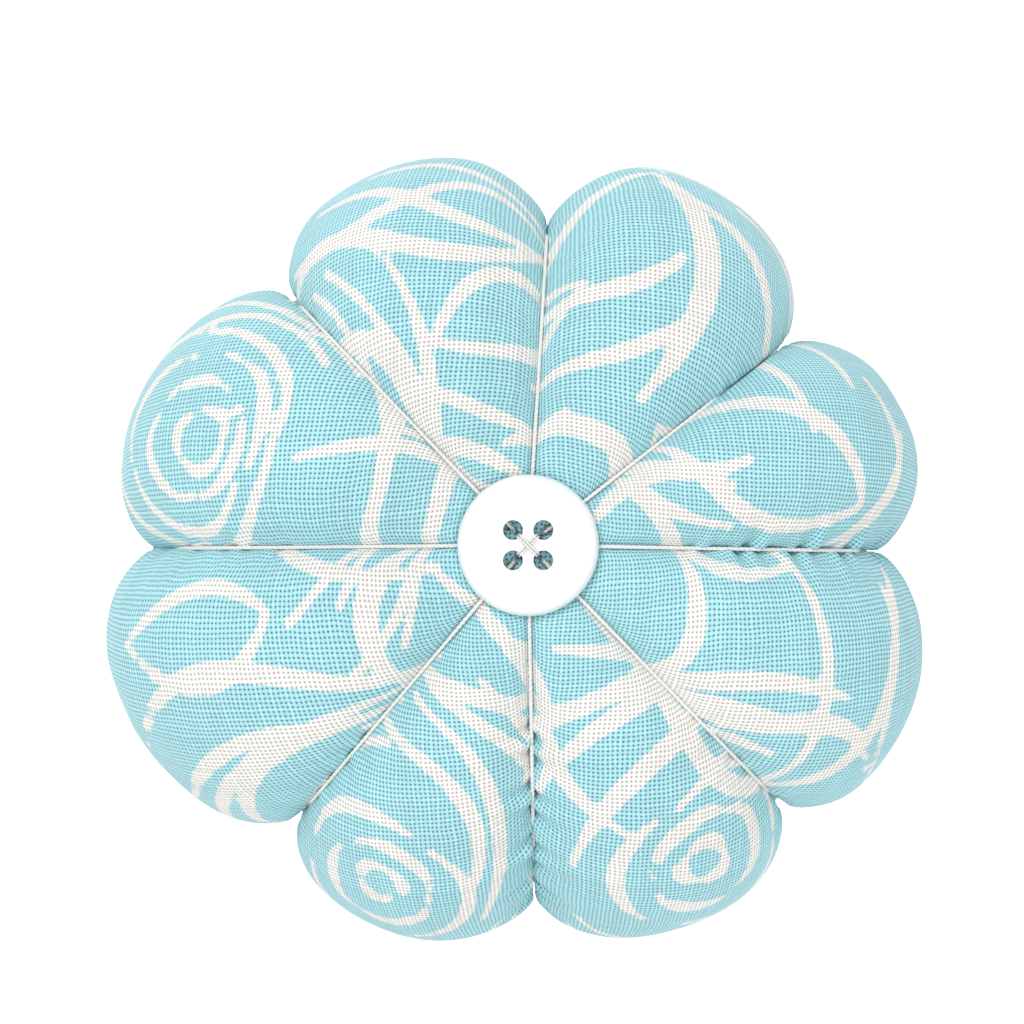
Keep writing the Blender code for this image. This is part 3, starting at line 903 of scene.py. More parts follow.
@dataclass(frozen=True)
class ClothPrint:
    """A loose all-over pattern of roses, leaves and long stems."""

    marks: tuple[Mark, ...] = (
        Mark(Motif.ROSE, -33.5, 11.5, 165.0, 12.0, 1.45, count=4),
        Mark(Motif.RIPPLE, -38.0, 9.0, 6.0, 21.0, 1.6, 0.15, 0.08, 4),
        Mark(Motif.RIPPLE, -36.0, 9.5, 82.0, 15.5, 1.2, 0.2, 0.1, 2),
        Mark(Motif.ROSE, -18.0, -34.5, 245.0, 9.5, 1.7, count=3),
        Mark(Motif.RIPPLE, -23.0, -32.0, 20.0, 14.5, 1.7, 0.26, 0.12, 3),
        Mark(Motif.RIPPLE, -15.0, -36.0, 262.0, 13.0, 1.3, 0.24, 0.08, 2),
        Mark(Motif.RIPPLE, -17.0, -38.0, 136.0, 17.5, 1.7, 0.2, 0.08, 3),
        Mark(Motif.ROSE, 17.5, -33.5, 325.0, 10.0, 2.0, count=3),
        Mark(Motif.RIPPLE, 20.0, -36.0, 112.0, 15.5, 2.4, 0.28, 0.12, 3),
        Mark(Motif.RIPPLE, 16.0, -36.0, 272.0, 13.0, 1.4, 0.24, 0.1, 2),
        Mark(Motif.SWEEP, -31.0, 30.0, 14.0, 33.0, 2.4, -0.08, 0.10),
        Mark(Motif.SWEEP, -29.0, 34.0, 6.0, 30.0, 1.9, 0.05, -0.09),
        Mark(Motif.SWEEP, -25.0, 39.0, 354.0, 27.0, 1.9, -0.06, 0.07),
        Mark(Motif.SWEEP, -20.0, 43.0, 350.0, 22.0, 1.5, 0.10),
        Mark(Motif.SWEEP, -24.0, 46.0, 8.0, 24.0, 1.5, 0.08),
        Mark(Motif.LEAF, -10.0, 21.5, 24.0, 17.0, 1.9, 0.1, count=2),
        Mark(Motif.SWEEP, -26.0, 23.0, 324.0, 30.0, 2.5, 0.10, 0.10),
        Mark(Motif.SWEEP, -13.0, 17.0, 352.0, 17.0, 1.6, -0.10, 0.06),
        Mark(Motif.SWEEP, -16.0, 12.0, 340.0, 17.0, 2.0, 0.12),
        Mark(Motif.SWEEP, 13.0, 44.0, 264.0, 27.0, 2.9, 0.17),
        Mark(Motif.SWEEP, 13.0, 42.0, 300.0, 33.0, 1.9, 0.12),
        Mark(Motif.SWEEP, 0.0, 27.0, 22.0, 17.0, 2.1, -0.16),
        Mark(Motif.SWEEP, 0.0, 31.0, 46.0, 20.0, 2.0, 0.12),
        Mark(Motif.SWEEP, -1.0, 18.5, 26.0, 19.0, 1.8, -0.10),
        Mark(Motif.SWEEP, 21.0, 42.0, 302.0, 27.0, 1.1, 0.16),
        Mark(Motif.SWEEP, 12.0, 47.0, 322.0, 30.0, 1.4, 0.14),
        Mark(Motif.SWEEP, -3.0, 11.0, 358.0, 26.0, 3.0, 0.02, 0.08),
        Mark(Motif.SWEEP, 7.0, 12.0, 330.0, 17.0, 1.7, -0.14),
        Mark(Motif.LEAF, 36.0, 6.0, 158.0, 25.0, 2.1, -0.1, count=2),
        Mark(Motif.SWEEP, 7.0, 3.0, 18.0, 15.0, 2.3, 0.2),
        Mark(Motif.SWEEP, 11.0, 6.0, 332.0, 20.0, 2.3, -0.16, 0.06),
        Mark(Motif.SWEEP, 38.0, 21.0, 265.0, 20.0, 1.4, 0.2),
        Mark(Motif.SWEEP, 42.0, 15.0, 240.0, 17.0, 1.7, 0.1),
        Mark(Motif.SWEEP, 6.0, -7.0, 318.0, 34.0, 2.6, -0.12, 0.05),
        Mark(Motif.SWEEP, 17.0, -2.0, 244.0, 15.0, 2.3, 0.24),
        Mark(Motif.SWEEP, 28.0, 0.0, 268.0, 29.0, 1.4, 0.10),
        Mark(Motif.SWEEP, 16.0, -16.0, 338.0, 24.0, 2.4, 0.12, -0.06),
        Mark(Motif.SWEEP, 40.0, -6.0, 238.0, 27.0, 2.2, 0.16),
        Mark(Motif.SWEEP, 44.0, -2.0, 262.0, 26.0, 1.6, -0.14),
        Mark(Motif.LEAF, -26.0, -6.0, 190.0, 17.0, 1.7, 0.1, count=2),
        Mark(Motif.SWEEP, -44.0, -19.0, 12.0, 34.0, 2.1, 0.14, 0.05),
        Mark(Motif.SWEEP, -42.0, -26.0, 22.0, 26.0, 1.8, 0.15),
        Mark(Motif.SWEEP, -12.0, 0.0, 258.0, 15.0, 2.6, -0.24),
        Mark(Motif.SWEEP, -10.0, -2.0, 300.0, 19.0, 1.9, 0.10),
        Mark(Motif.SWEEP, -30.0, 1.5, 350.0, 21.0, 1.6, -0.12),
        Mark(Motif.SWEEP, -15.0, -13.0, 356.0, 24.0, 2.1, -0.14, 0.05),
        Mark(Motif.SWEEP, -4.0, -9.0, 290.0, 18.0, 1.9, 0.16),
        Mark(Motif.SWEEP, -6.0, -14.0, 282.0, 24.0, 1.6, 0.12),
        Mark(Motif.SWEEP, 3.0, -11.0, 330.0, 21.0, 2.2, 0.14),
        Mark(Motif.SWEEP, 2.0, -16.0, 300.0, 16.0, 2.0, -0.16),
        Mark(Motif.SWEEP, -4.0, 6.0, 170.0, 20.0, 1.9, -0.12),
    )
    reach: float = 2.0

    def depth(self, places: np.ndarray) -> np.ndarray:
        """Return how far inside a stroke each place lies.

        Args:
            places: flat cloth places, in millimetres, one row for each.

        Returns:
            Millimetres inside the nearest stroke, negative outside, held within `reach`.
        """
        depth = np.full(len(places), -self.reach)
        for mark in self.marks:
            for stroke in mark.strokes():
                self.lay(depth, places, stroke)
        return np.clip(depth, -self.reach, self.reach)

    def lay(self, depth: np.ndarray, places: np.ndarray, stroke: np.ndarray) -> None:
        """Lay one stroke over the depths found so far.

        Args:
            depth: the depths, changed in place.
            places: the places they belong to.
            stroke: rows of x, y and half width.
        """
        low, high = stroke[:, :2].min(axis=0), stroke[:, :2].max(axis=0)
        margin = self.reach + stroke[:, 2].max()
        near = np.all((places > low - margin) & (places < high + margin), axis=1)
        chosen = places[near]
        best = depth[near]
        for start, end in zip(stroke[:-1], stroke[1:]):
            run = end[:2] - start[:2]
            share = np.clip(((chosen - start[:2]) @ run) / max(run @ run, 1e-9), 0.0, 1.0)
            gap = np.linalg.norm(chosen - start[:2] - share[:, None] * run, axis=1)
            best = np.maximum(best, start[2] + share * (end[2] - start[2]) - gap)
        depth[near] = best


# ------------------------------------------------------------------- cushion
class Side(Enum):
    """Which cover panel a stretch of the cushion belongs to."""

    TOP = 1.0
    BASE = -1.0


@dataclass(frozen=True)
class Meridian:
    """The line from the cushion's axis to its seam, along a crest or a groove, in metres."""

    height: float
    sunk: float
    sink_start: float
    sink_end: float
    crown: float
    roundness: float

    def points(self, reach: float, side: Side, count: int) -> np.ndarray:
        """Return evenly spaced points of the line.

        Args:
            reach: how far out the seam lies.
            side: whether the line runs over the top or the base.
            count: how many steps the line is cut into.

        Returns:
            Rows of radius and level above the seam's plane.
        """
        middle = np.linspace(0.0, self.crown, 80)
        sinking = np.clip((self.sink_start - middle) / (self.sink_start - self.sink_end), 0.0, 1.0)
        level = self.height - self.sunk * sinking**2 * (3.0 - 2.0 * sinking)
        bend = np.linspace(0.0, math.pi / 2.0, 160)[1:]
        radius = self.crown + (reach - self.crown) * np.sin(bend) ** (2.0 / self.roundness)
        drop = self.height * np.cos(bend).clip(0.0) ** (2.0 / self.roundness)
        line = np.c_[np.r_[middle, radius], side.value * np.r_[level, drop]]
        return spaced(line, count + 1)


@dataclass(frozen=True)
class Lobe:
    """One lobe and the groove that it starts at.

    The groove has a direction in degrees, a reach, and shares of how strongly
    its cloth gathers into puckers and how deeply it is tucked in; the tuck
    starts at a given travel from the middle. The thread draws the lobes' rims
    beside it in by the share `draw`, and dives between them from `dive` on.
    """

    direction: float
    groove_reach: float
    lobe_reach: float
    gather: float
    tuck: float
    tuck_start: float
    draw: float = 0.0
    dive: float = 40.0 * MM


@dataclass
class Cushion:
    """The stuffed cushion and the two printed panels that cover it."""

    lobes: tuple[Lobe, ...] = (
        Lobe(-1.0, 37.3 * MM, 42.0 * MM, 1.0, 0.7, 20.0 * MM, 0.016),
        Lobe(38.0, 34.6 * MM, 42.3 * MM, 0.3, 1.1, 20.0 * MM, 0.0, 27.0 * MM),
        Lobe(86.5, 35.8 * MM, 42.2 * MM, 0.25, 0.35, 12.0 * MM, 0.034),
        Lobe(133.6, 37.0 * MM, 43.2 * MM, 0.3, 1.0, 10.0 * MM),
        Lobe(180.5, 41.8 * MM, 45.6 * MM, 0.35, 0.3, 14.0 * MM, 0.032),
        Lobe(229.8, 38.0 * MM, 43.2 * MM, 0.35, 0.8, 22.0 * MM),
        Lobe(271.0, 37.0 * MM, 43.5 * MM, 1.25, 0.9, 20.0 * MM, 0.0, 29.0 * MM),
        Lobe(314.3, 39.5 * MM, 43.8 * MM, 0.35, 1.0, 12.0 * MM, 0.014),
    )
    top_crest: Meridian = Meridian(19.5 * MM, 7.0 * MM, 23.0 * MM, 5.0 * MM, 23.0 * MM, 2.1)
    top_groove: Meridian = Meridian(15.0 * MM, 2.5 * MM, 20.0 * MM, 3.0 * MM, 22.0 * MM, 1.9)
    base_crest: Meridian = Meridian(18.0 * MM, 6.0 * MM, 10.0 * MM, 3.0 * MM, 24.0 * MM, 2.6)
    base_groove: Meridian = Meridian(14.0 * MM, 2.0 * MM, 18.0 * MM, 3.0 * MM, 22.0 * MM, 2.2)
    columns_per_lobe: int = 72
    top_rings: int = 140
    base_rings: int = 80
    hole_rings: int = 3
    cloth_radius: float = 52.0 * MM
    cloth: float = 0.45 * MM
    bulge: float = 0.06
    fullness: float = 2.25
    wall_gap: float = 0.06 * MM
    pucker: float = 0.38 * MM
    pucker_waves: tuple[tuple[float, float, float], ...] = (
        (1.0, 3.3, 1.0),
        (0.6, 2.2, 1.7),
        (0.5, 6.3, -1.0),
    )
    pucker_start: float = 17.0 * MM
    pucker_delay: float = 9.0 * MM
    pucker_ease: float = 6.0 * MM
    pucker_gap: float = 0.7 * MM
    pucker_reach: float = 3.6 * MM
    dent_depth: float = 0.13 * MM
    tuck_depth: float = 0.8 * MM
    tuck_width: float = 0.8 * MM
    tuck_travel: float = 16.0 * MM
    press: float = 0.7 * MM
    press_width: float = 5.0 * MM
    least_press: float = 0.25
    notch_start: float = 50.0 * MM
    notch_length: float = 10.0 * MM
    fill_gap: float = 0.7 * MM
    seam_depth: float = 0.55 * MM
    seam_width: float = 0.9 * MM
    rim_start: float = 22.0 * MM
    rim_length: float = 22.0 * MM
    draw_width: float = 9.0 * MM
    base_calm: float = 12.0 * MM
    base_ease_length: float = 8.0 * MM
    thread_room: float = 0.20 * MM
    dive_depth: float = 1.5 * MM
    dive_length: float = 5.0 * MM
    dive_calm: float = 22.0 * MM
    sim_scale: float = 20.0
    sim_frames: int = 8
    sim_limit: float = 1.6 * MM
    button_hold: float = 6.5 * MM
    guard_hold: float = 24.0 * MM

    def __post_init__(self) -> None:
        """Take the seam's level from the frame and lay out the surface."""
        seam_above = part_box("cover_top_panel")[0][2]
        seam_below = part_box("cover_bottom_panel")[1][2]
        self.seam_level = (seam_above + seam_below) / 2.0
        self.places = self.lay_out()
        self.flat = self.flatten()

    def lay_out(self) -> np.ndarray:
        """Return the surface's points by row (top middle to base middle) and column."""
        parts = (
            (Side.TOP, self.top_crest, self.top_groove, self.top_rings),
            (Side.BASE, self.base_crest, self.base_groove, self.base_rings),
        )
        share = np.arange(self.columns_per_lobe) / self.columns_per_lobe
        turn = math.pi * share - 0.5 * np.sin(math.tau * share)
        across = np.sign(np.cos(turn)) * np.abs(np.cos(turn)) ** (2.0 / self.fullness)
        bow = np.sin(turn) ** (2.0 / self.fullness)
        lobes = []
        for index, lobe in enumerate(self.lobes):
            after = self.lobes[(index + 1) % len(self.lobes)]
            first = math.radians(lobe.direction)
            last = first + (math.radians(after.direction) - first) % math.tau
            rows = []
            for side, crest, groove, count in parts:
                ends = [
                    stood_up(groove.points(reach, side, count), angle, self.seam_level)
                    for reach, angle in ((lobe.groove_reach, first), (after.groove_reach, last))
                ]
                crest_line = crest.points(lobe.lobe_reach, side, count)
                ridge = stood_up(crest_line, (first + last) / 2.0, self.seam_level)
                middle = (ends[0] + ends[1]) / 2.0
                out = np.clip(np.linspace(0.0, 1.0, count + 1) * 2.2 - 0.9, 0.0, 1.0)
                swell = 1.0 + self.bulge * out[:, None] * np.sin(turn) ** 2
                along = (across * swell)[:, :, None] * (ends[0] - middle)[:, None]
                up = bow[None, :, None] * (ridge - middle)[:, None]
                block = middle[:, None] + along + up
                rows.append(block if side is Side.TOP else block[-2::-1])
            lobes.append(np.vstack(rows))
        return np.hstack(lobes)

    def flatten(self) -> np.ndarray:
        """Return where each point lies on its flat round panel, in metres."""
        count = len(self.lobes)
        step = np.linalg.norm(np.roll(self.places, -1, axis=1) - self.places, axis=2)
        step = step.reshape(len(step), count, self.columns_per_lobe) + 1e-9
        share = (np.cumsum(step, axis=2) - step) / step.sum(axis=2, keepdims=True)
        angle = (share + np.arange(count)[None, :, None]) * math.tau / count
        angle = angle.reshape(len(step), -1) + math.radians(self.lobes[0].direction)
        reach = np.r_[
            np.linspace(0.0, 1.0, self.top_rings + 1),
            np.linspace(1.0, 0.0, self.base_rings + 1)[1:],
        ]
        reach = self.cloth_radius * reach[:, None]
        return np.stack([reach * np.cos(angle), reach * np.sin(angle)], axis=2)

    def outward(self) -> np.ndarray:
        """Return the surface's outward direction at each point."""
        along = np.gradient(self.places, axis=0)
        around = np.roll(self.places, -1, axis=1) - np.roll(self.places, 1, axis=1)
        normal = np.cross(along, around)
        return normal / np.maximum(np.linalg.norm(normal, axis=2, keepdims=True), 1e-12)

    def inflate(self) -> None:
        """Let the cover swell by cloth simulation, held at its grooves, middle and base."""
        rows = np.arange(self.hole_rings - 1, len(self.places) - self.hole_rings + 1, 2)
        columns = np.arange(0, self.places.shape[1], 2)
        coarse = self.places[np.ix_(rows, columns)]
        mesh, row, column = spun_rings("swelling_cover", coarse * self.sim_scale)
        face_out(mesh, self.outward()[np.ix_(rows, columns)][row, column])
        cover = linked("swelling_cover", mesh)
        cover.shape_key_add(name="Basis")
        cut = cover.shape_key_add(name="flat_cut")
        flat = self.flat[np.ix_(rows, columns)] * self.sim_scale
        level = np.where(rows <= self.top_rings, 0.0, -0.01)[:, None, None] * np.ones((1, len(columns), 1))
        laid = np.concatenate([flat, level], axis=2)[row, column]
        cut.data.foreach_set("co", laid.astype(np.float32).ravel())
        held = self.held(coarse, rows, columns)[row, column]
        group = cover.vertex_groups.new(name="held")
        group.add([int(index) for index in np.flatnonzero(held)], 1.0, "REPLACE")
        moved = self.simulate(cover, cut) / self.sim_scale
        bpy.data.objects.remove(cover)
        shift = np.zeros_like(coarse)
        shift[row, column] = moved - coarse[row, column]
        length = np.linalg.norm(shift, axis=2, keepdims=True)
        shift *= np.minimum(1.0, self.sim_limit / np.maximum(length, 1e-9))
        self.places += self.refined(shift, rows)
        LOG.info("cover swells by up to %.2f mm", float(np.linalg.norm(shift, axis=2).max()) / MM)

    def held(self, coarse: np.ndarray, rows: np.ndarray, columns: np.ndarray) -> np.ndarray:
        """Return which points of the coarse cover stay where they are.

        Args:
            coarse: the coarse points.
            rows: the full surface's rows that they come from.
            columns: the columns that they come from.

        Returns:
            True where a point is held.
        """
        radius = np.hypot(coarse[..., 0], coarse[..., 1])
        top = (rows < self.top_rings)[:, None]
        grooves = (columns % self.columns_per_lobe == 0)[None, :]
        below = (rows > self.top_rings)[:, None]
        return grooves | (top & (radius < self.button_hold)) | (below & (radius < self.guard_hold))

    def simulate(self, cover: bpy.types.Object, cut: bpy.types.ShapeKey) -> np.ndarray:
        """Run the cloth simulation.

        Args:
            cover: the coarse cover, enlarged.
            cut: the shape key that holds its flat cut.

        Returns:
            Its points at the end, still enlarged.
        """
        cloth = cover.modifiers.new("cloth", "CLOTH")
        settings = cloth.settings
        settings.quality = 4
        settings.mass = 0.03
        settings.tension_stiffness = 20.0
        settings.compression_stiffness = 10.0
        settings.shear_stiffness = 5.0
        settings.bending_stiffness = 0.2
        settings.air_damping = 3.0
        settings.vertex_group_mass = "held"
        settings.rest_shape_key = cut
        settings.use_pressure = True
        settings.uniform_pressure_force = 75.0
        settings.effector_weights.gravity = 0.0
        cloth.collision_settings.use_collision = False
        cloth.point_cache.frame_start = 1
        cloth.point_cache.frame_end = self.sim_frames
        for number in range(1, self.sim_frames + 1):
            bpy.context.scene.frame_set(number)
        swollen = evaluated_mesh(cover)
        points = mesh_points(swollen)
        bpy.data.meshes.remove(swollen)
        bpy.context.scene.frame_set(1)
        return points

    def refined(self, shift: np.ndarray, rows: np.ndarray) -> np.ndarray:
        """Spread the coarse cover's moves over the full surface.

        Args:
            shift: the moves, by coarse row and column.
            rows: the full rows that the coarse rows come from.

        Returns:
            The moves, by full row and column.
        """
        wide = np.repeat(shift, 2, axis=1)
        wide[:, 1::2] = (shift + np.roll(shift, -1, axis=1)) / 2.0
        wanted = np.arange(len(self.places))
        low = np.clip(np.searchsorted(rows, wanted, side="right") - 1, 0, len(rows) - 2)
        share = np.clip((wanted - rows[low]) / (rows[low + 1] - rows[low]), 0.0, 1.0)[:, None, None]
        return wide[low] * (1.0 - share) + wide[low + 1] * share

    def travel(self) -> np.ndarray:
        """Return each point's way along the cloth from the top middle, in metres."""
        reach = np.hypot(self.flat[..., 0], self.flat[..., 1])
        below = np.arange(len(self.places)) > self.top_rings
        return np.where(below[:, None], 2.0 * self.cloth_radius - reach, reach)

    def aside(self, index: int) -> np.ndarray:
        """Return each point's signed way along the cloth from a groove, in metres.

        Args:
            index: the groove's number.

        Returns:
            The distances, which jump from half way round to minus half way round.
        """
        total = self.places.shape[1]
        step = np.linalg.norm(np.roll(self.places, -1, axis=1) - self.places, axis=2)
        rolled = np.roll(step, -index * self.columns_per_lobe, axis=1)
        ahead = np.cumsum(rolled, axis=1) - rolled
        whole = rolled.sum(axis=1, keepdims=True)
        signed = np.where(np.arange(total)[None, :] < total // 2, ahead, ahead - whole)
        return np.roll(signed, index * self.columns_per_lobe, axis=1)

    def base_ease(self, start: float) -> np.ndarray:
        """Return 1 over most of the cloth, easing to 0 at the travel `start` from the base middle."""
        return rise(2.0 * self.cloth_radius - self.travel(), start, self.base_ease_length)

    def gather(self) -> None:
        """Tuck the cloth into the grooves, pucker it beside them, and crease it at the seam."""
        travel = self.travel()
        base_side = self.base_ease(self.base_calm)
        outward = self.outward()
        move = np.zeros(self.places.shape[:2])
        for index, lobe in enumerate(self.lobes):
            away = self.aside(index)
            tucked = lobe.tuck * rise(travel, lobe.tuck_start, self.tuck_travel) * base_side
            self.press_groove(lobe, away, travel, tucked)
            rim = rise(travel, self.rim_start, self.rim_length) * base_side
            drawn = lobe.draw * rim * np.exp(-((away / self.draw_width) ** 2))
            self.places[..., :2] *= 1.0 - drawn[..., None]
            well = tucked * np.exp(-((np.abs(away) / self.tuck_width) ** 1.5))
            move -= self.tuck_depth * well
            move += self.puckers(index, away, travel, base_side)
        move += self.dents()
        seam = (travel - self.cloth_radius) / self.seam_width
        move -= self.seam_depth * np.exp(-(seam**2))
        self.places += outward * move[..., None]

    def press_groove(self, lobe: Lobe, away: np.ndarray, travel: np.ndarray, tucked: np.ndarray) -> None:
        """Press the two lobes beside a groove towards each other.

        Args:
            lobe: the lobe that the groove starts.
            away: each point's signed way from the groove.
            travel: each point's way from the top middle.
            tucked: how strongly the groove is tucked in at each point.
        """
        across = plan_axes(lobe.direction)[1]
        inside = np.clip((self.notch_start - travel) / self.notch_length, 0.0, 1.0)
        nearness = np.exp(-((away / self.press_width) ** 2)) * (self.least_press + tucked) * inside
        self.places[..., :2] -= (self.press * np.sign(away) * nearness)[..., None] * across

    def puckers(
        self, index: int, away: np.ndarray, travel: np.ndarray, base_side: np.ndarray
    ) -> np.ndarray:
        """Return how far the puckers beside a groove lift the cloth.

        Args:
            index: the groove's number.
            away: each point's signed way from the groove.
            travel: each point's way from the top middle.
            base_side: 1 over most of the cloth, easing to 0 near the base middle.

        Returns:
            The lift at each point, in metres.
        """
        gather = self.lobes[index].gather
        side = np.where(away < 0.0, 1.9, 0.0)
        phase = 2.1 * index + side + np.abs(away) / MM * 0.25
        wave = 0.0
        for strength, length, shift in self.pucker_waves:
            wave = wave + strength * np.sin(travel / MM * math.tau / length + shift * phase)
        start = self.pucker_start + self.pucker_delay * (1.0 - min(gather, 1.0))
        begun = rise(travel, start, self.pucker_ease) * base_side
        beside = rise(np.abs(away), 0.0, self.pucker_gap)
        fade = beside * np.exp(-((np.abs(away) / self.pucker_reach) ** 1.5))
        return gather * self.pucker * wave * begun * fade

    def dents(self) -> np.ndarray:
        """Return the cloth's shallow, uneven dents, in metres, calm round the middle."""
        x, y, z = (self.places[..., axis] / MM for axis in range(3))
        dents = np.sin(x / 3.1 + 1.3 * np.sin(y / 4.7)) * np.sin(y / 3.7 + 1.1 * np.sin(z / 3.9 + x / 6.1))
        return self.dent_depth * dents * rise(np.hypot(x, y), 9.0, 8.0)

    def press_lobes(self) -> None:
        """Keep each lobe inside its own wedge, so that neighbours press flat on each other."""
        for index, lobe in enumerate(self.lobes):
            after = self.lobes[(index + 1) % len(self.lobes)]
            block = slice(index * self.columns_per_lobe, (index + 1) * self.columns_per_lobe)
            for direction, sign in ((lobe.direction, 1.0), (after.direction, -1.0)):
                inward = sign * plan_axes(direction)[1]
                plan = self.places[:, block, :2]
                short = np.maximum(self.wall_gap - plan @ inward, 0.0)
                short[:, 0] = 0.0
                self.places[:, block, :2] = plan + short[..., None] * inward
        floor = self.seam_level - self.base_crest.height
        self.places[..., 2] = np.maximum(self.places[..., 2], floor)

    def panel(
        self, name: str, rows: slice, node: str, material: bpy.types.Material, print_turn: float
    ) -> None:
        """Make one cover panel.

        Args:
            name: the piece's name.
            rows: the surface's rows that it covers.
            node: the CAD node that it stands for.
            material: its cloth.
            print_turn: how far the panel's cut is turned on the printed cloth, in degrees.
        """
        mesh, row, column = spun_rings(name, self.places[rows])
        face_out(mesh, self.outward()[rows][row, column])
        flat = self.flat[rows][row, column]
        map_cloth(mesh, flat[corner_vertices(mesh)])
        turn = math.radians(print_turn)
        spin = np.array([[math.cos(turn), math.sin(turn)], [-math.sin(turn), math.cos(turn)]])
        depth = mesh.attributes.new("print", "FLOAT", "POINT")
        depth.data.foreach_set("value", ClothPrint().depth(flat @ spin / MM).astype(np.float32))
        piece = shown(name, mesh, material)
        thicken = piece.modifiers.new("cloth_thickness", "SOLIDIFY")
        thicken.thickness = self.cloth
        thicken.offset = -1.0
        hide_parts(node)
        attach(piece, "cushion")

    def filling(self, material: bpy.types.Material) -> None:
        """Make the loose fill that the cover is drawn round.

        Args:
            material: its finish.
        """
        rows = slice(self.hole_rings, len(self.places) - self.hole_rings, 2)
        inside = (self.places - self.fill_gap * self.outward())[rows, ::2]
        mesh, row, column = spun_rings("fibre_filling", inside)
        outward = self.outward()[rows, ::2][row, column]
        with edited(mesh) as bm:
            bmesh.ops.holes_fill(bm, edges=[edge for edge in bm.edges if edge.is_boundary], sides=0)
        face_out(mesh, outward)
        piece = shown("fibre_filling", mesh, material)
        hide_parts("stuffing")
        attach(piece, "cushion")

    def seam(self, cord: Cord, material: bpy.types.Material) -> None:
        """Make the thread that closes the two panels, deep in their crease.

        Args:
            cord: the thread.
            material: its finish.
        """
        line = self.places[self.top_rings].copy()
        share = np.arange(len(line)) / self.columns_per_lobe
        beside = np.exp(-((np.abs(share - np.rint(share)) / 0.06) ** 2))
        inward = self.cloth + (0.2 + 0.9 * beside) * MM
        line[:, :2] *= (1.0 - inward / np.hypot(line[:, 0], line[:, 1]))[:, None]
        mesh = cord.mesh("panel_seam_thread", [np.vstack([line, line[:1]])], closed=True)
        piece = shown(mesh.name, mesh, material)
        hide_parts("seam_thread")
        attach(piece, "cushion")

    def build(
        self, material: bpy.types.Material, fill: bpy.types.Material, thread: bpy.types.Material
    ) -> None:
        """Shape the cushion, then make both panels, the fill and the seam."""
        self.inflate()
        self.gather()
        self.press_lobes()
        top = slice(self.hole_rings, self.top_rings + 1)
        base = slice(self.top_rings, len(self.places) - self.hole_rings)
        self.panel("printed_top_cover", top, "cover_top_panel", material, 0.0)
        self.panel("printed_base_cover", base, "cover_bottom_panel", material, 158.0)
        self.filling(fill)
        self.seam(Cord(radius=0.2 * MM, step=0.4 * MM, sides=8), thread)

    def groove_line(self, index: int, lift: float) -> np.ndarray:
        """Return a taut line between two lobes, from the top middle round to the base middle.

        Args:
            index: the groove's number.
            lift: how far the line lies off the cloth.

        Returns:
            The line's points.
        """
        lobe = self.lobes[index]
        ahead, across = plan_axes(lobe.direction)
        rows = np.arange(self.hole_rings + 4, len(self.places) - self.hole_rings - 4)
        steps = np.arange(self.columns_per_lobe // 3)
        line = np.zeros((len(rows), 2))
        for turn in (1, -1):
            columns = (index * self.columns_per_lobe + turn * steps) % self.places.shape[1]
            beside = self.places[np.ix_(rows, columns)]
            gap = np.abs(beside[..., :2] @ across)
            first = np.argmax(gap > self.thread_room, axis=1).clip(1)
            at = np.arange(len(rows))
            share = (self.thread_room - gap[at, first - 1]) / (gap[at, first] - gap[at, first - 1])
            inside, outside = beside[at, first - 1], beside[at, first]
            rest = inside + np.clip(share, 0.0, 1.0)[:, None] * (outside - inside)
            line += np.c_[rest[:, :2] @ ahead, rest[:, 2]] / 2.0
        run = np.gradient(line, axis=0)
        side = np.c_[-run[:, 1], run[:, 0]] / np.linalg.norm(run, axis=1, keepdims=True)
        sink = self.dive_depth * rise(self.travel()[rows, 0], lobe.dive, self.dive_length)
        sink *= self.base_ease(self.dive_calm)[rows, 0]
        line = line + (lift - sink)[:, None] * side
        taut = []
        for point in line:
            while len(taut) > 1 and np.cross(taut[-1] - taut[-2], point - taut[-1]) > 0.0:
                taut.pop()
            taut.append(point)
        return stood_up(np.array(taut), math.radians(lobe.direction))

    def base_height(self, x: float, y: float) -> float:
        """Return the cushion's underside height nearest a plan position."""
        under = self.places[self.top_rings + 4:].reshape(-1, 3)
        nearest = np.argmin(np.hypot(under[:, 0] - x, under[:, 1] - y))
        return float(under[nearest, 2])


@dataclass
class SegmentThreads:
    """The eight threads that draw the cushion into lobes."""

    cushion: Cushion
    cord: Cord = Cord(radius=0.20 * MM)

    def build(self, material: bpy.types.Material) -> None:
        """Lay a thread along each groove and round to the base."""
        for index in range(len(self.cushion.lobes)):
            line = self.cushion.groove_line(index, 0.4 * self.cord.radius)
            mesh = self.cord.mesh(f"groove_thread_{index + 1}", [line])
            piece = shown(mesh.name, mesh, material)
            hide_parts(f"segment_thread_{index + 1}")
            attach(piece, "cushion")


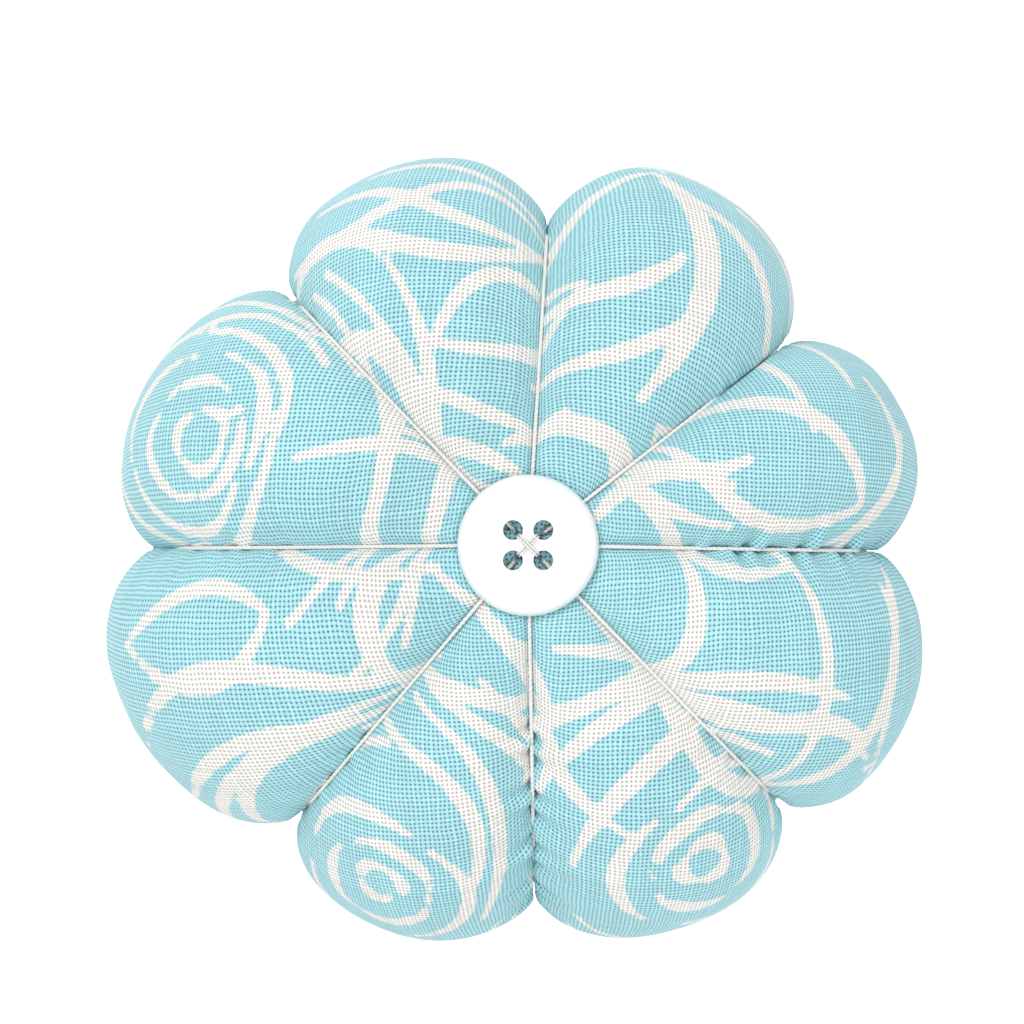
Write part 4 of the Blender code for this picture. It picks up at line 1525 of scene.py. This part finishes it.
@dataclass
class Button:
    """The four-hole button and the thread that sews it on."""

    hole_radius: float = 1.05 * MM
    hole_spacing: float = 3.2 * MM
    dish_radius: float = 5.9 * MM
    dish_depth: float = 1.0 * MM
    edge: float = 0.9 * MM
    sink: float = 1.2 * MM
    corner_steps: int = 12
    crossings: tuple[float, float] = (0.12 * MM, 0.34 * MM)
    pass_gap: float = 0.15 * MM
    cord: Cord = Cord(radius=0.13 * MM, lay=1.0 * MM, step=0.10 * MM, sides=10)

    def __post_init__(self) -> None:
        """Take the button's size and place from the frame."""
        low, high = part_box("top_button")
        self.radius = (high[0] - low[0]) / 2.0
        self.bottom = low[2] - self.sink
        self.thickness = high[2] - low[2]
        self.face = self.bottom + self.thickness - self.dish_depth

    def profile(self) -> list[tuple[float, float]]:
        """Return the button's turned profile, from its underside to its face."""
        top = self.bottom + self.thickness
        points = [(0.0, self.bottom), (self.radius - 2.2 * self.edge, self.bottom)]
        shares = [step / self.corner_steps for step in range(self.corner_steps + 1)]
        for share in shares:
            angle = math.pi * (share - 0.5)
            out = self.radius - self.edge + self.edge * math.cos(angle)
            middle = self.bottom + self.thickness / 2.0
            points.append((out, middle + (self.thickness / 2.0 - 0.05 * MM) * math.sin(angle)))
        for share in shares:
            ease = share * share * (3.0 - 2.0 * share)
            points.append((self.dish_radius * (1.0 - 0.5 * share), top - self.dish_depth * ease))
        points.append((0.0, self.face))
        return points

    def holes(self) -> list[tuple[float, float]]:
        """Return the holes' middles."""
        half = self.hole_spacing / 2.0
        return [(half, half), (-half, half), (-half, -half), (half, -half)]

    def cutter(self) -> bpy.types.Object:
        """Return the four hole cutters as one object."""
        bm = bmesh.new()
        for x, y in self.holes():
            made = bmesh.ops.create_cone(
                bm,
                cap_ends=True,
                segments=40,
                radius1=self.hole_radius,
                radius2=self.hole_radius,
                depth=6.0 * self.thickness,
            )
            bmesh.ops.translate(bm, verts=made["verts"], vec=(x, y, self.face))
        return linked("hole_cutters", made_mesh(bm, "hole_cutters"))

    def build(self, plastic: bpy.types.Material, thread: bpy.types.Material) -> None:
        """Make the button, then the crossed threads."""
        blank = shown("button_blank", turned("button_blank", self.profile()), plastic)
        cutters = self.cutter()
        cut = blank.modifiers.new("holes", "BOOLEAN")
        cut.operation = "DIFFERENCE"
        cut.object = cutters
        soften = blank.modifiers.new("softened_edges", "BEVEL")
        soften.width = 0.12 * MM
        soften.segments = 3
        soften.limit_method = "ANGLE"
        soften.angle_limit = math.radians(50.0)
        mesh = evaluated_mesh(blank)
        bpy.data.objects.remove(blank)
        bpy.data.objects.remove(cutters)
        button = shown("white_button", mesh, plastic)
        mesh.set_sharp_from_angle(angle=math.radians(35.0))
        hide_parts("top_button")
        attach(button, "cushion")
        self.sew(thread)

    def sew(self, thread: bpy.types.Material) -> None:
        """Make two crossed pairs of threads that go down the holes."""
        half = self.hole_spacing / 2.0
        foot = self.bottom - 0.2 * MM
        for number, lean in ((1, 1.0), (2, -1.0)):
            crossing = self.face + self.crossings[number - 1]
            lines = []
            for pass_side in (-1.0, 1.0):
                aside = np.array([-lean, 1.0]) / math.sqrt(2.0) * pass_side * self.pass_gap
                line = []
                for share, level in (
                    (-0.63, foot),
                    (-0.62, self.face - 0.5 * MM),
                    (-0.54, self.face + 0.06 * MM),
                    (-0.20, crossing),
                    (0.20, crossing),
                    (0.54, self.face + 0.06 * MM),
                    (0.62, self.face - 0.5 * MM),
                    (0.63, foot),
                ):
                    place = share * half * np.array([1.0, lean]) + aside
                    line.append((place[0], place[1], level))
                lines.append(rounded(np.array(line), 2))
            mesh = self.cord.mesh(f"button_sewing_{number}", lines)
            piece = shown(mesh.name, mesh, thread)
            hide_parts(f"button_stitch_{number}")
            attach(piece, "cushion")


@dataclass
class Base:
    """The needle guard, the felt under it and the felt's edge stitching."""

    cushion: Cushion
    stitches: int = 46
    stitch_depth: float = 2.6 * MM
    stitch_lean: float = 0.35
    grip_out: float = 0.35 * MM
    grip_height: float = 1.5 * MM
    tuck_in: float = 1.2 * MM
    felt_rise: float = 0.25 * MM
    cord: Cord = Cord(radius=0.26 * MM, lay=1.7 * MM, step=0.3 * MM, sides=8)

    def disc(
        self, name: str, node: str, bottom: float, top: float, soft: float, material: bpy.types.Material
    ) -> None:
        """Make a round, soft-edged disc.

        Args:
            name: the piece's name.
            node: the CAD node that it stands for.
            bottom: its underside's height.
            top: its upper side's height.
            soft: how far its edge is rounded.
            material: its finish.
        """
        low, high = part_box(node)
        radius = (high[0] - low[0]) / 2.0
        half = (top - bottom) / 2.0
        profile = [(radius * share, bottom) for share in (0.0, 0.25, 0.5, 0.75, 0.9)]
        for step in range(9):
            angle = math.pi * (step / 8.0 - 0.5)
            profile.append((radius - soft + soft * math.cos(angle), bottom + half + half * math.sin(angle)))
        profile += [(radius * share, top) for share in (0.9, 0.75, 0.5, 0.25, 0.0)]
        piece = shown(name, turned(name, profile, 128), material)
        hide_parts(node)
        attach(piece, "cushion")

    def stitch(self, index: int, radius: float, bottom: float, top: float) -> np.ndarray:
        """Return the line of one stitch, from under the felt up into the cushion.

        Args:
            index: the stitch's number.
            radius: the felt's radius.
            bottom: the felt's underside.
            top: the felt's upper side.

        Returns:
            The line's points.
        """
        angle = math.tau * index / self.stitches
        lean = self.stitch_lean / self.stitches * math.tau
        under = bottom - 0.5 * self.cord.radius
        out = radius + 0.7 * self.cord.radius
        grip = radius + self.grip_out
        above = self.cushion.base_height(grip * math.cos(angle), grip * math.sin(angle)) + 0.3 * MM
        height = min(above, top + self.grip_height)
        line = [
            (radius - self.stitch_depth, angle, bottom + 0.5 * MM),
            (radius - self.stitch_depth, angle, under),
            (radius - 0.6 * self.stitch_depth, angle, under),
            (out - 0.3 * MM, angle, under),
            (out, angle + 0.3 * lean, bottom + 0.4 * MM),
            (out, angle + 0.6 * lean, top),
            (grip, angle + 0.85 * lean, height),
            (radius - self.tuck_in, angle + lean, height + 0.2 * MM),
        ]
        points = np.array([(r * math.cos(a), r * math.sin(a), z) for r, a, z in line])
        return rounded(points, 2)

    def build(
        self, felt: bpy.types.Material, plastic: bpy.types.Material, thread: bpy.types.Material
    ) -> None:
        """Make the guard, the felt and the stitches."""
        band_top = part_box("wrist_band_upper")[1][2]
        felt_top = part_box("base_felt")[1][2] + self.felt_rise
        guard_top = self.cushion.seam_level - self.cushion.base_crest.height
        self.disc("felt_base", "base_felt", band_top - 0.05 * MM, felt_top, 0.7 * MM, felt)
        self.disc("stiff_guard", "needle_guard", felt_top - 0.02 * MM, guard_top, 0.3 * MM, plastic)
        low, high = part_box("base_felt")
        radius = (high[0] - low[0]) / 2.0
        lines = [self.stitch(index, radius, band_top, felt_top) for index in range(self.stitches)]
        mesh = self.cord.mesh("felt_edge_stitches", lines)
        piece = shown(mesh.name, mesh, thread)
        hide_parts("base_stitching")
        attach(piece, "cushion")


@dataclass
class WristBand:
    """The elastic loop and the box of stitching that holds it to the base."""

    thickness: float = 1.4 * MM
    ribs: int = 19
    rib_height: float = 0.30 * MM
    points_per_rib: int = 4
    path_steps: int = 260
    stretch_above: float = 6.0 * MM
    stretch_end: float = 4.0 * MM
    top_corner: float = 11.7 * MM
    foot_half_length: float = 11.0 * MM
    box_length: float = 28.0 * MM
    box_width: float = 18.0 * MM
    stitch_pitch: float = 2.4 * MM
    cord: Cord = Cord(radius=0.17 * MM, plies=2, lay=1.2 * MM, step=0.3 * MM, sides=8)

    def __post_init__(self) -> None:
        """Take the band's size from the frame."""
        upper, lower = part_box("wrist_band_upper"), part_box("wrist_band_lower")
        self.width = upper[1][1] - upper[0][1]
        self.half_width = upper[1][0] - self.thickness / 2.0
        self.top = upper[1][2] - self.thickness / 2.0
        self.bottom = lower[0][2] + self.thickness / 2.0
        self.split = (upper[0][2] + lower[1][2]) / 2.0

    def outline(self) -> np.ndarray:
        """Return the band's middle line as (x, z) pairs, from its top middle round to its start."""
        corner_x = self.half_width - self.top_corner
        turn = np.linspace(0.0, math.pi / 2.0, 60)
        upper = np.c_[
            corner_x + self.top_corner * np.cos(turn),
            self.split + (self.top - self.split) * np.sin(turn),
        ]
        lower = np.c_[
            self.foot_half_length + (self.half_width - self.foot_half_length) * np.cos(turn),
            self.split - (self.split - self.bottom) * np.sin(turn),
        ]
        mirror = np.array([-1.0, 1.0])
        return np.vstack([
            [[0.0, self.top]],
            upper[::-1],
            lower[1:],
            [[0.0, self.bottom]],
            (lower * mirror)[::-1],
            (upper * mirror)[1:],
            [[0.0, self.top]],
        ])

    def section(self) -> np.ndarray:
        """Return the ribbed cross-section as (across, out) pairs, counter-clockwise."""
        count = self.ribs * self.points_per_rib
        across = np.linspace(-0.5, 0.5, count + 1)
        ribs = np.abs(np.sin(np.pi * across * self.ribs + np.pi * self.ribs / 2.0)) ** 0.7
        half = self.thickness / 2.0 - self.rib_height * (1.0 - ribs)
        rim = np.abs(across) > 0.5 - 0.6 / self.ribs
        edge = np.sqrt(np.clip((0.5 - np.abs(across)) * self.ribs * 1.5, 0.15, 1.0))
        half = np.where(rim, self.thickness / 2.0 * edge, half)
        outer = np.c_[across * self.width, half]
        inner = np.c_[across[::-1] * self.width, -half[::-1]]
        return np.vstack([outer, inner])

    def strap(self, material: bpy.types.Material) -> None:
        """Make the elastic loop."""
        outline = self.outline()
        path = spaced(outline, self.path_steps + 1)[:-1]
        section = self.section()
        run = np.roll(path, -1, axis=0) - np.roll(path, 1, axis=0)
        run /= np.linalg.norm(run, axis=1, keepdims=True)
        out = np.c_[-run[:, 1], run[:, 0]]
        out *= np.sign((out * (path - path.mean(axis=0))).sum())
        places = np.empty((len(section), len(path), 3))
        for index, (across, lift) in enumerate(section):
            places[index, :, 0] = path[:, 0] + out[:, 0] * lift
            places[index, :, 1] = across
            places[index, :, 2] = path[:, 1] + out[:, 1] * lift
        mesh = self.closed_tube(places, distance_along(outline)[-1])
        piece = shown("elastic_wrist_band", mesh, material)
        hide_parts("wrist_band_upper", "wrist_band_lower")
        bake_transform(piece)

    def closed_tube(self, places: np.ndarray, length: float) -> bpy.types.Mesh:
        """Spin a closed section into a ring and lay it along the band's middle line.

        Args:
            places: where each point goes, by section point and station along the line.
            length: the line's length.

        Returns:
            The mesh, with its cloth coordinates.
        """
        rows, columns = places.shape[:2]
        bm = bmesh.new()
        ring = [
            bm.verts.new((3.0 + math.cos(math.tau * row / rows), 0.0, math.sin(math.tau * row / rows)))
            for row in range(rows)
        ]
        edges = [bm.edges.new(pair) for pair in zip(ring, ring[1:] + ring[:1])]
        spin_all(bm, ring + edges, columns)
        mesh = made_mesh(bm, "elastic_wrist_band")
        blank = mesh_points(mesh)
        turn = np.arctan2(blank[:, 2], np.hypot(blank[:, 0], blank[:, 1]) - 3.0)
        row = np.rint(turn / math.tau * rows).astype(int) % rows
        column = spun_column(blank, columns)
        lay_points(mesh, places[row, column])
        corners = corner_vertices(mesh)
        owner = np.repeat(np.arange(len(mesh.polygons)), 4)
        station = column[corners]
        wraps = np.zeros(len(mesh.polygons), bool)
        np.logical_or.at(wraps, owner, station == columns - 1)
        station = np.where(wraps[owner] & (station == 0), columns, station)
        map_cloth(mesh, np.c_[station / columns * length, places[row, column, 1][corners]])
        with edited(mesh) as bm:
            bmesh.ops.recalc_face_normals(bm, faces=bm.faces[:])
        return mesh

    def box_stitches(self, material: bpy.types.Material) -> None:
        """Make the stitched box with its crossed diagonals inside the top of the loop."""
        level = self.top - self.thickness / 2.0 - 0.35 * self.cord.radius
        x, y = self.box_length / 2.0, self.box_width / 2.0
        corners = [(x, y), (-x, y), (-x, -y), (x, -y)]
        runs = list(zip(corners, corners[1:] + corners[:1]))
        runs += [(corners[0], corners[2]), (corners[1], corners[3])]
        lines = []
        for start, end in np.array(runs):
            count = int(round(np.linalg.norm(end - start) / self.stitch_pitch))
            for index in range(count):
                line = []
                for share, rise in ((0.08, 0.3), (0.2, 0.0), (0.5, -0.08), (0.8, 0.0), (0.92, 0.3)):
                    place = start + (end - start) * (index + share) / count
                    line.append((place[0], place[1], level + rise * MM))
                lines.append(rounded(np.array(line), 1))
        mesh = self.cord.mesh("band_box_stitches", lines)
        piece = shown(mesh.name, mesh, material)
        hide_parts("band_stitch_box")
        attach(piece, "cushion")

    def build(self, elastic: bpy.types.Material, thread: bpy.types.Material) -> None:
        """Make the band and its stitching."""
        self.strap(elastic)
        self.box_stitches(thread)


# -------------------------------------------------------------------- studio
@dataclass(frozen=True)
class Lamp:
    """A square soft light: where it hangs, its side in metres and its power in watts."""

    name: str
    place: tuple[float, float, float]
    size: float
    power: float


@dataclass
class Studio:
    """The pale floor, the soft lights and the camera straight above."""

    lamps: tuple[Lamp, ...] = (
        Lamp("key_light", (-0.32, 0.45, 0.90), 0.6, 4.9),
        Lamp("fill_light", (0.2, -0.5, 0.85), 0.9, 3.2),
    )
    air_colour: tuple[float, float, float, float] = (0.97, 0.98, 1.0, 1.0)
    air_strength: float = 0.69
    sensor_width: float = 36.0
    camera_height: float = 0.90
    view_width: float = 108.5 * MM
    subject_height: float = 72.0 * MM
    aim_x: float = -1.7 * MM
    aim_y: float = 3.5 * MM
    floor_size: float = 6.0
    floor_drop: float = 32.0 * MM
    floor_glow: float = 0.30

    def camera(self) -> None:
        """Set the camera above the button, looking straight down."""
        data = bpy.data.cameras.new("camera")
        data.sensor_width = self.sensor_width
        distance = self.camera_height - self.subject_height
        data.lens = self.sensor_width * distance / self.view_width
        item = linked("camera", data)
        item.location = (self.aim_x, self.aim_y, self.camera_height)
        bpy.context.scene.camera = item

    def floor(self) -> None:
        """Make the floor, low enough for the band at its full stretch."""
        bm = bmesh.new()
        bmesh.ops.create_grid(bm, x_segments=1, y_segments=1, size=self.floor_size / 2.0)
        bmesh.ops.translate(bm, verts=bm.verts[:], vec=(0.0, 0.0, -self.floor_drop))
        mesh = made_mesh(bm, "studio_floor")
        material = bpy.data.materials.new("white_paper")
        material.use_nodes = True
        shader = material.node_tree.nodes["Principled BSDF"]
        shader.inputs["Base Color"].default_value = (0.96, 0.96, 0.96, 1.0)
        shader.inputs["Roughness"].default_value = 0.9
        shader.inputs["Emission Color"].default_value = (1.0, 1.0, 1.0, 1.0)
        shader.inputs["Emission Strength"].default_value = self.floor_glow
        shown("studio_floor", mesh, material)

    def light(self, lamp: Lamp) -> None:
        """Hang a lamp and point it at the cushion."""
        data = bpy.data.lights.new(lamp.name, "AREA")
        data.size = lamp.size
        data.energy = lamp.power
        item = linked(lamp.name, data)
        item.location = lamp.place
        aim = Vector((0.0, 0.0, self.subject_height)) - Vector(lamp.place)
        item.rotation_euler = aim.to_track_quat("-Z", "Y").to_euler()

    def air(self) -> None:
        """Fill the studio with even, pale light."""
        world = bpy.data.worlds.new("studio_air")
        world.use_nodes = True
        background = world.node_tree.nodes["Background"]
        background.inputs["Color"].default_value = self.air_colour
        background.inputs["Strength"].default_value = self.air_strength
        bpy.context.scene.world = world

    def build(self) -> None:
        """Set up the whole studio."""
        self.camera()
        self.floor()
        for lamp in self.lamps:
            self.light(lamp)
        self.air()
        bpy.context.scene.view_settings.view_transform = "Standard"


def dress_inner_threads(thread: bpy.types.Material) -> None:
    """Give the CAD nodes that stay, the tie and its knot inside the cushion, their finish."""
    for name in ("centre_thread", "tie_knot"):
        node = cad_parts[name]
        node.data.materials.clear()
        node.data.materials.append(thread)


def main() -> None:
    """Build every piece in order."""
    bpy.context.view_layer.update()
    cotton = PrintedCotton("printed_cotton_cloth", (0.42, 0.74, 0.785), 0.85).material()
    spun = {"fineness": 4200.0, "relief": 0.02 * MM, "darkest": 0.94}
    thread = Fibre("off_white_thread", (0.97, 0.97, 0.93), 0.7, **spun).material()
    bright_thread = Fibre("bright_white_thread", (0.98, 0.98, 0.96), 0.6, **spun).material()
    fill = Fibre("polyester_fill", (0.90, 0.89, 0.86), 0.95, fineness=700.0).material()
    felt = Fibre("pressed_felt", (0.84, 0.91, 0.92), 0.95, fineness=1300.0, relief=0.12 * MM).material()
    resin = MouldedPlastic("polished_resin", (0.92, 0.92, 0.91), 0.14, coat=0.5).material()
    sheet = MouldedPlastic("guard_sheet", (0.90, 0.91, 0.91), 0.4, relief=0.03 * MM).material()
    elastic = RibbedElastic("ribbed_elastic", (0.88, 0.88, 0.86), 0.8).material()
    Studio().build()
    LOG.info("studio ready")
    cushion = Cushion()
    cushion.build(cotton, fill, thread)
    LOG.info("cushion covered")
    SegmentThreads(cushion).build(thread)
    LOG.info("segment threads laid")
    Button().build(resin, bright_thread)
    LOG.info("button sewn on")
    Base(cushion).build(felt, sheet, thread)
    LOG.info("base stitched")
    WristBand().build(elastic, thread)
    LOG.info("wrist band fitted")
    dress_inner_threads(thread)


if __name__ == "__main__":
    logging.basicConfig(level=logging.INFO, format="%(message)s")
    main()
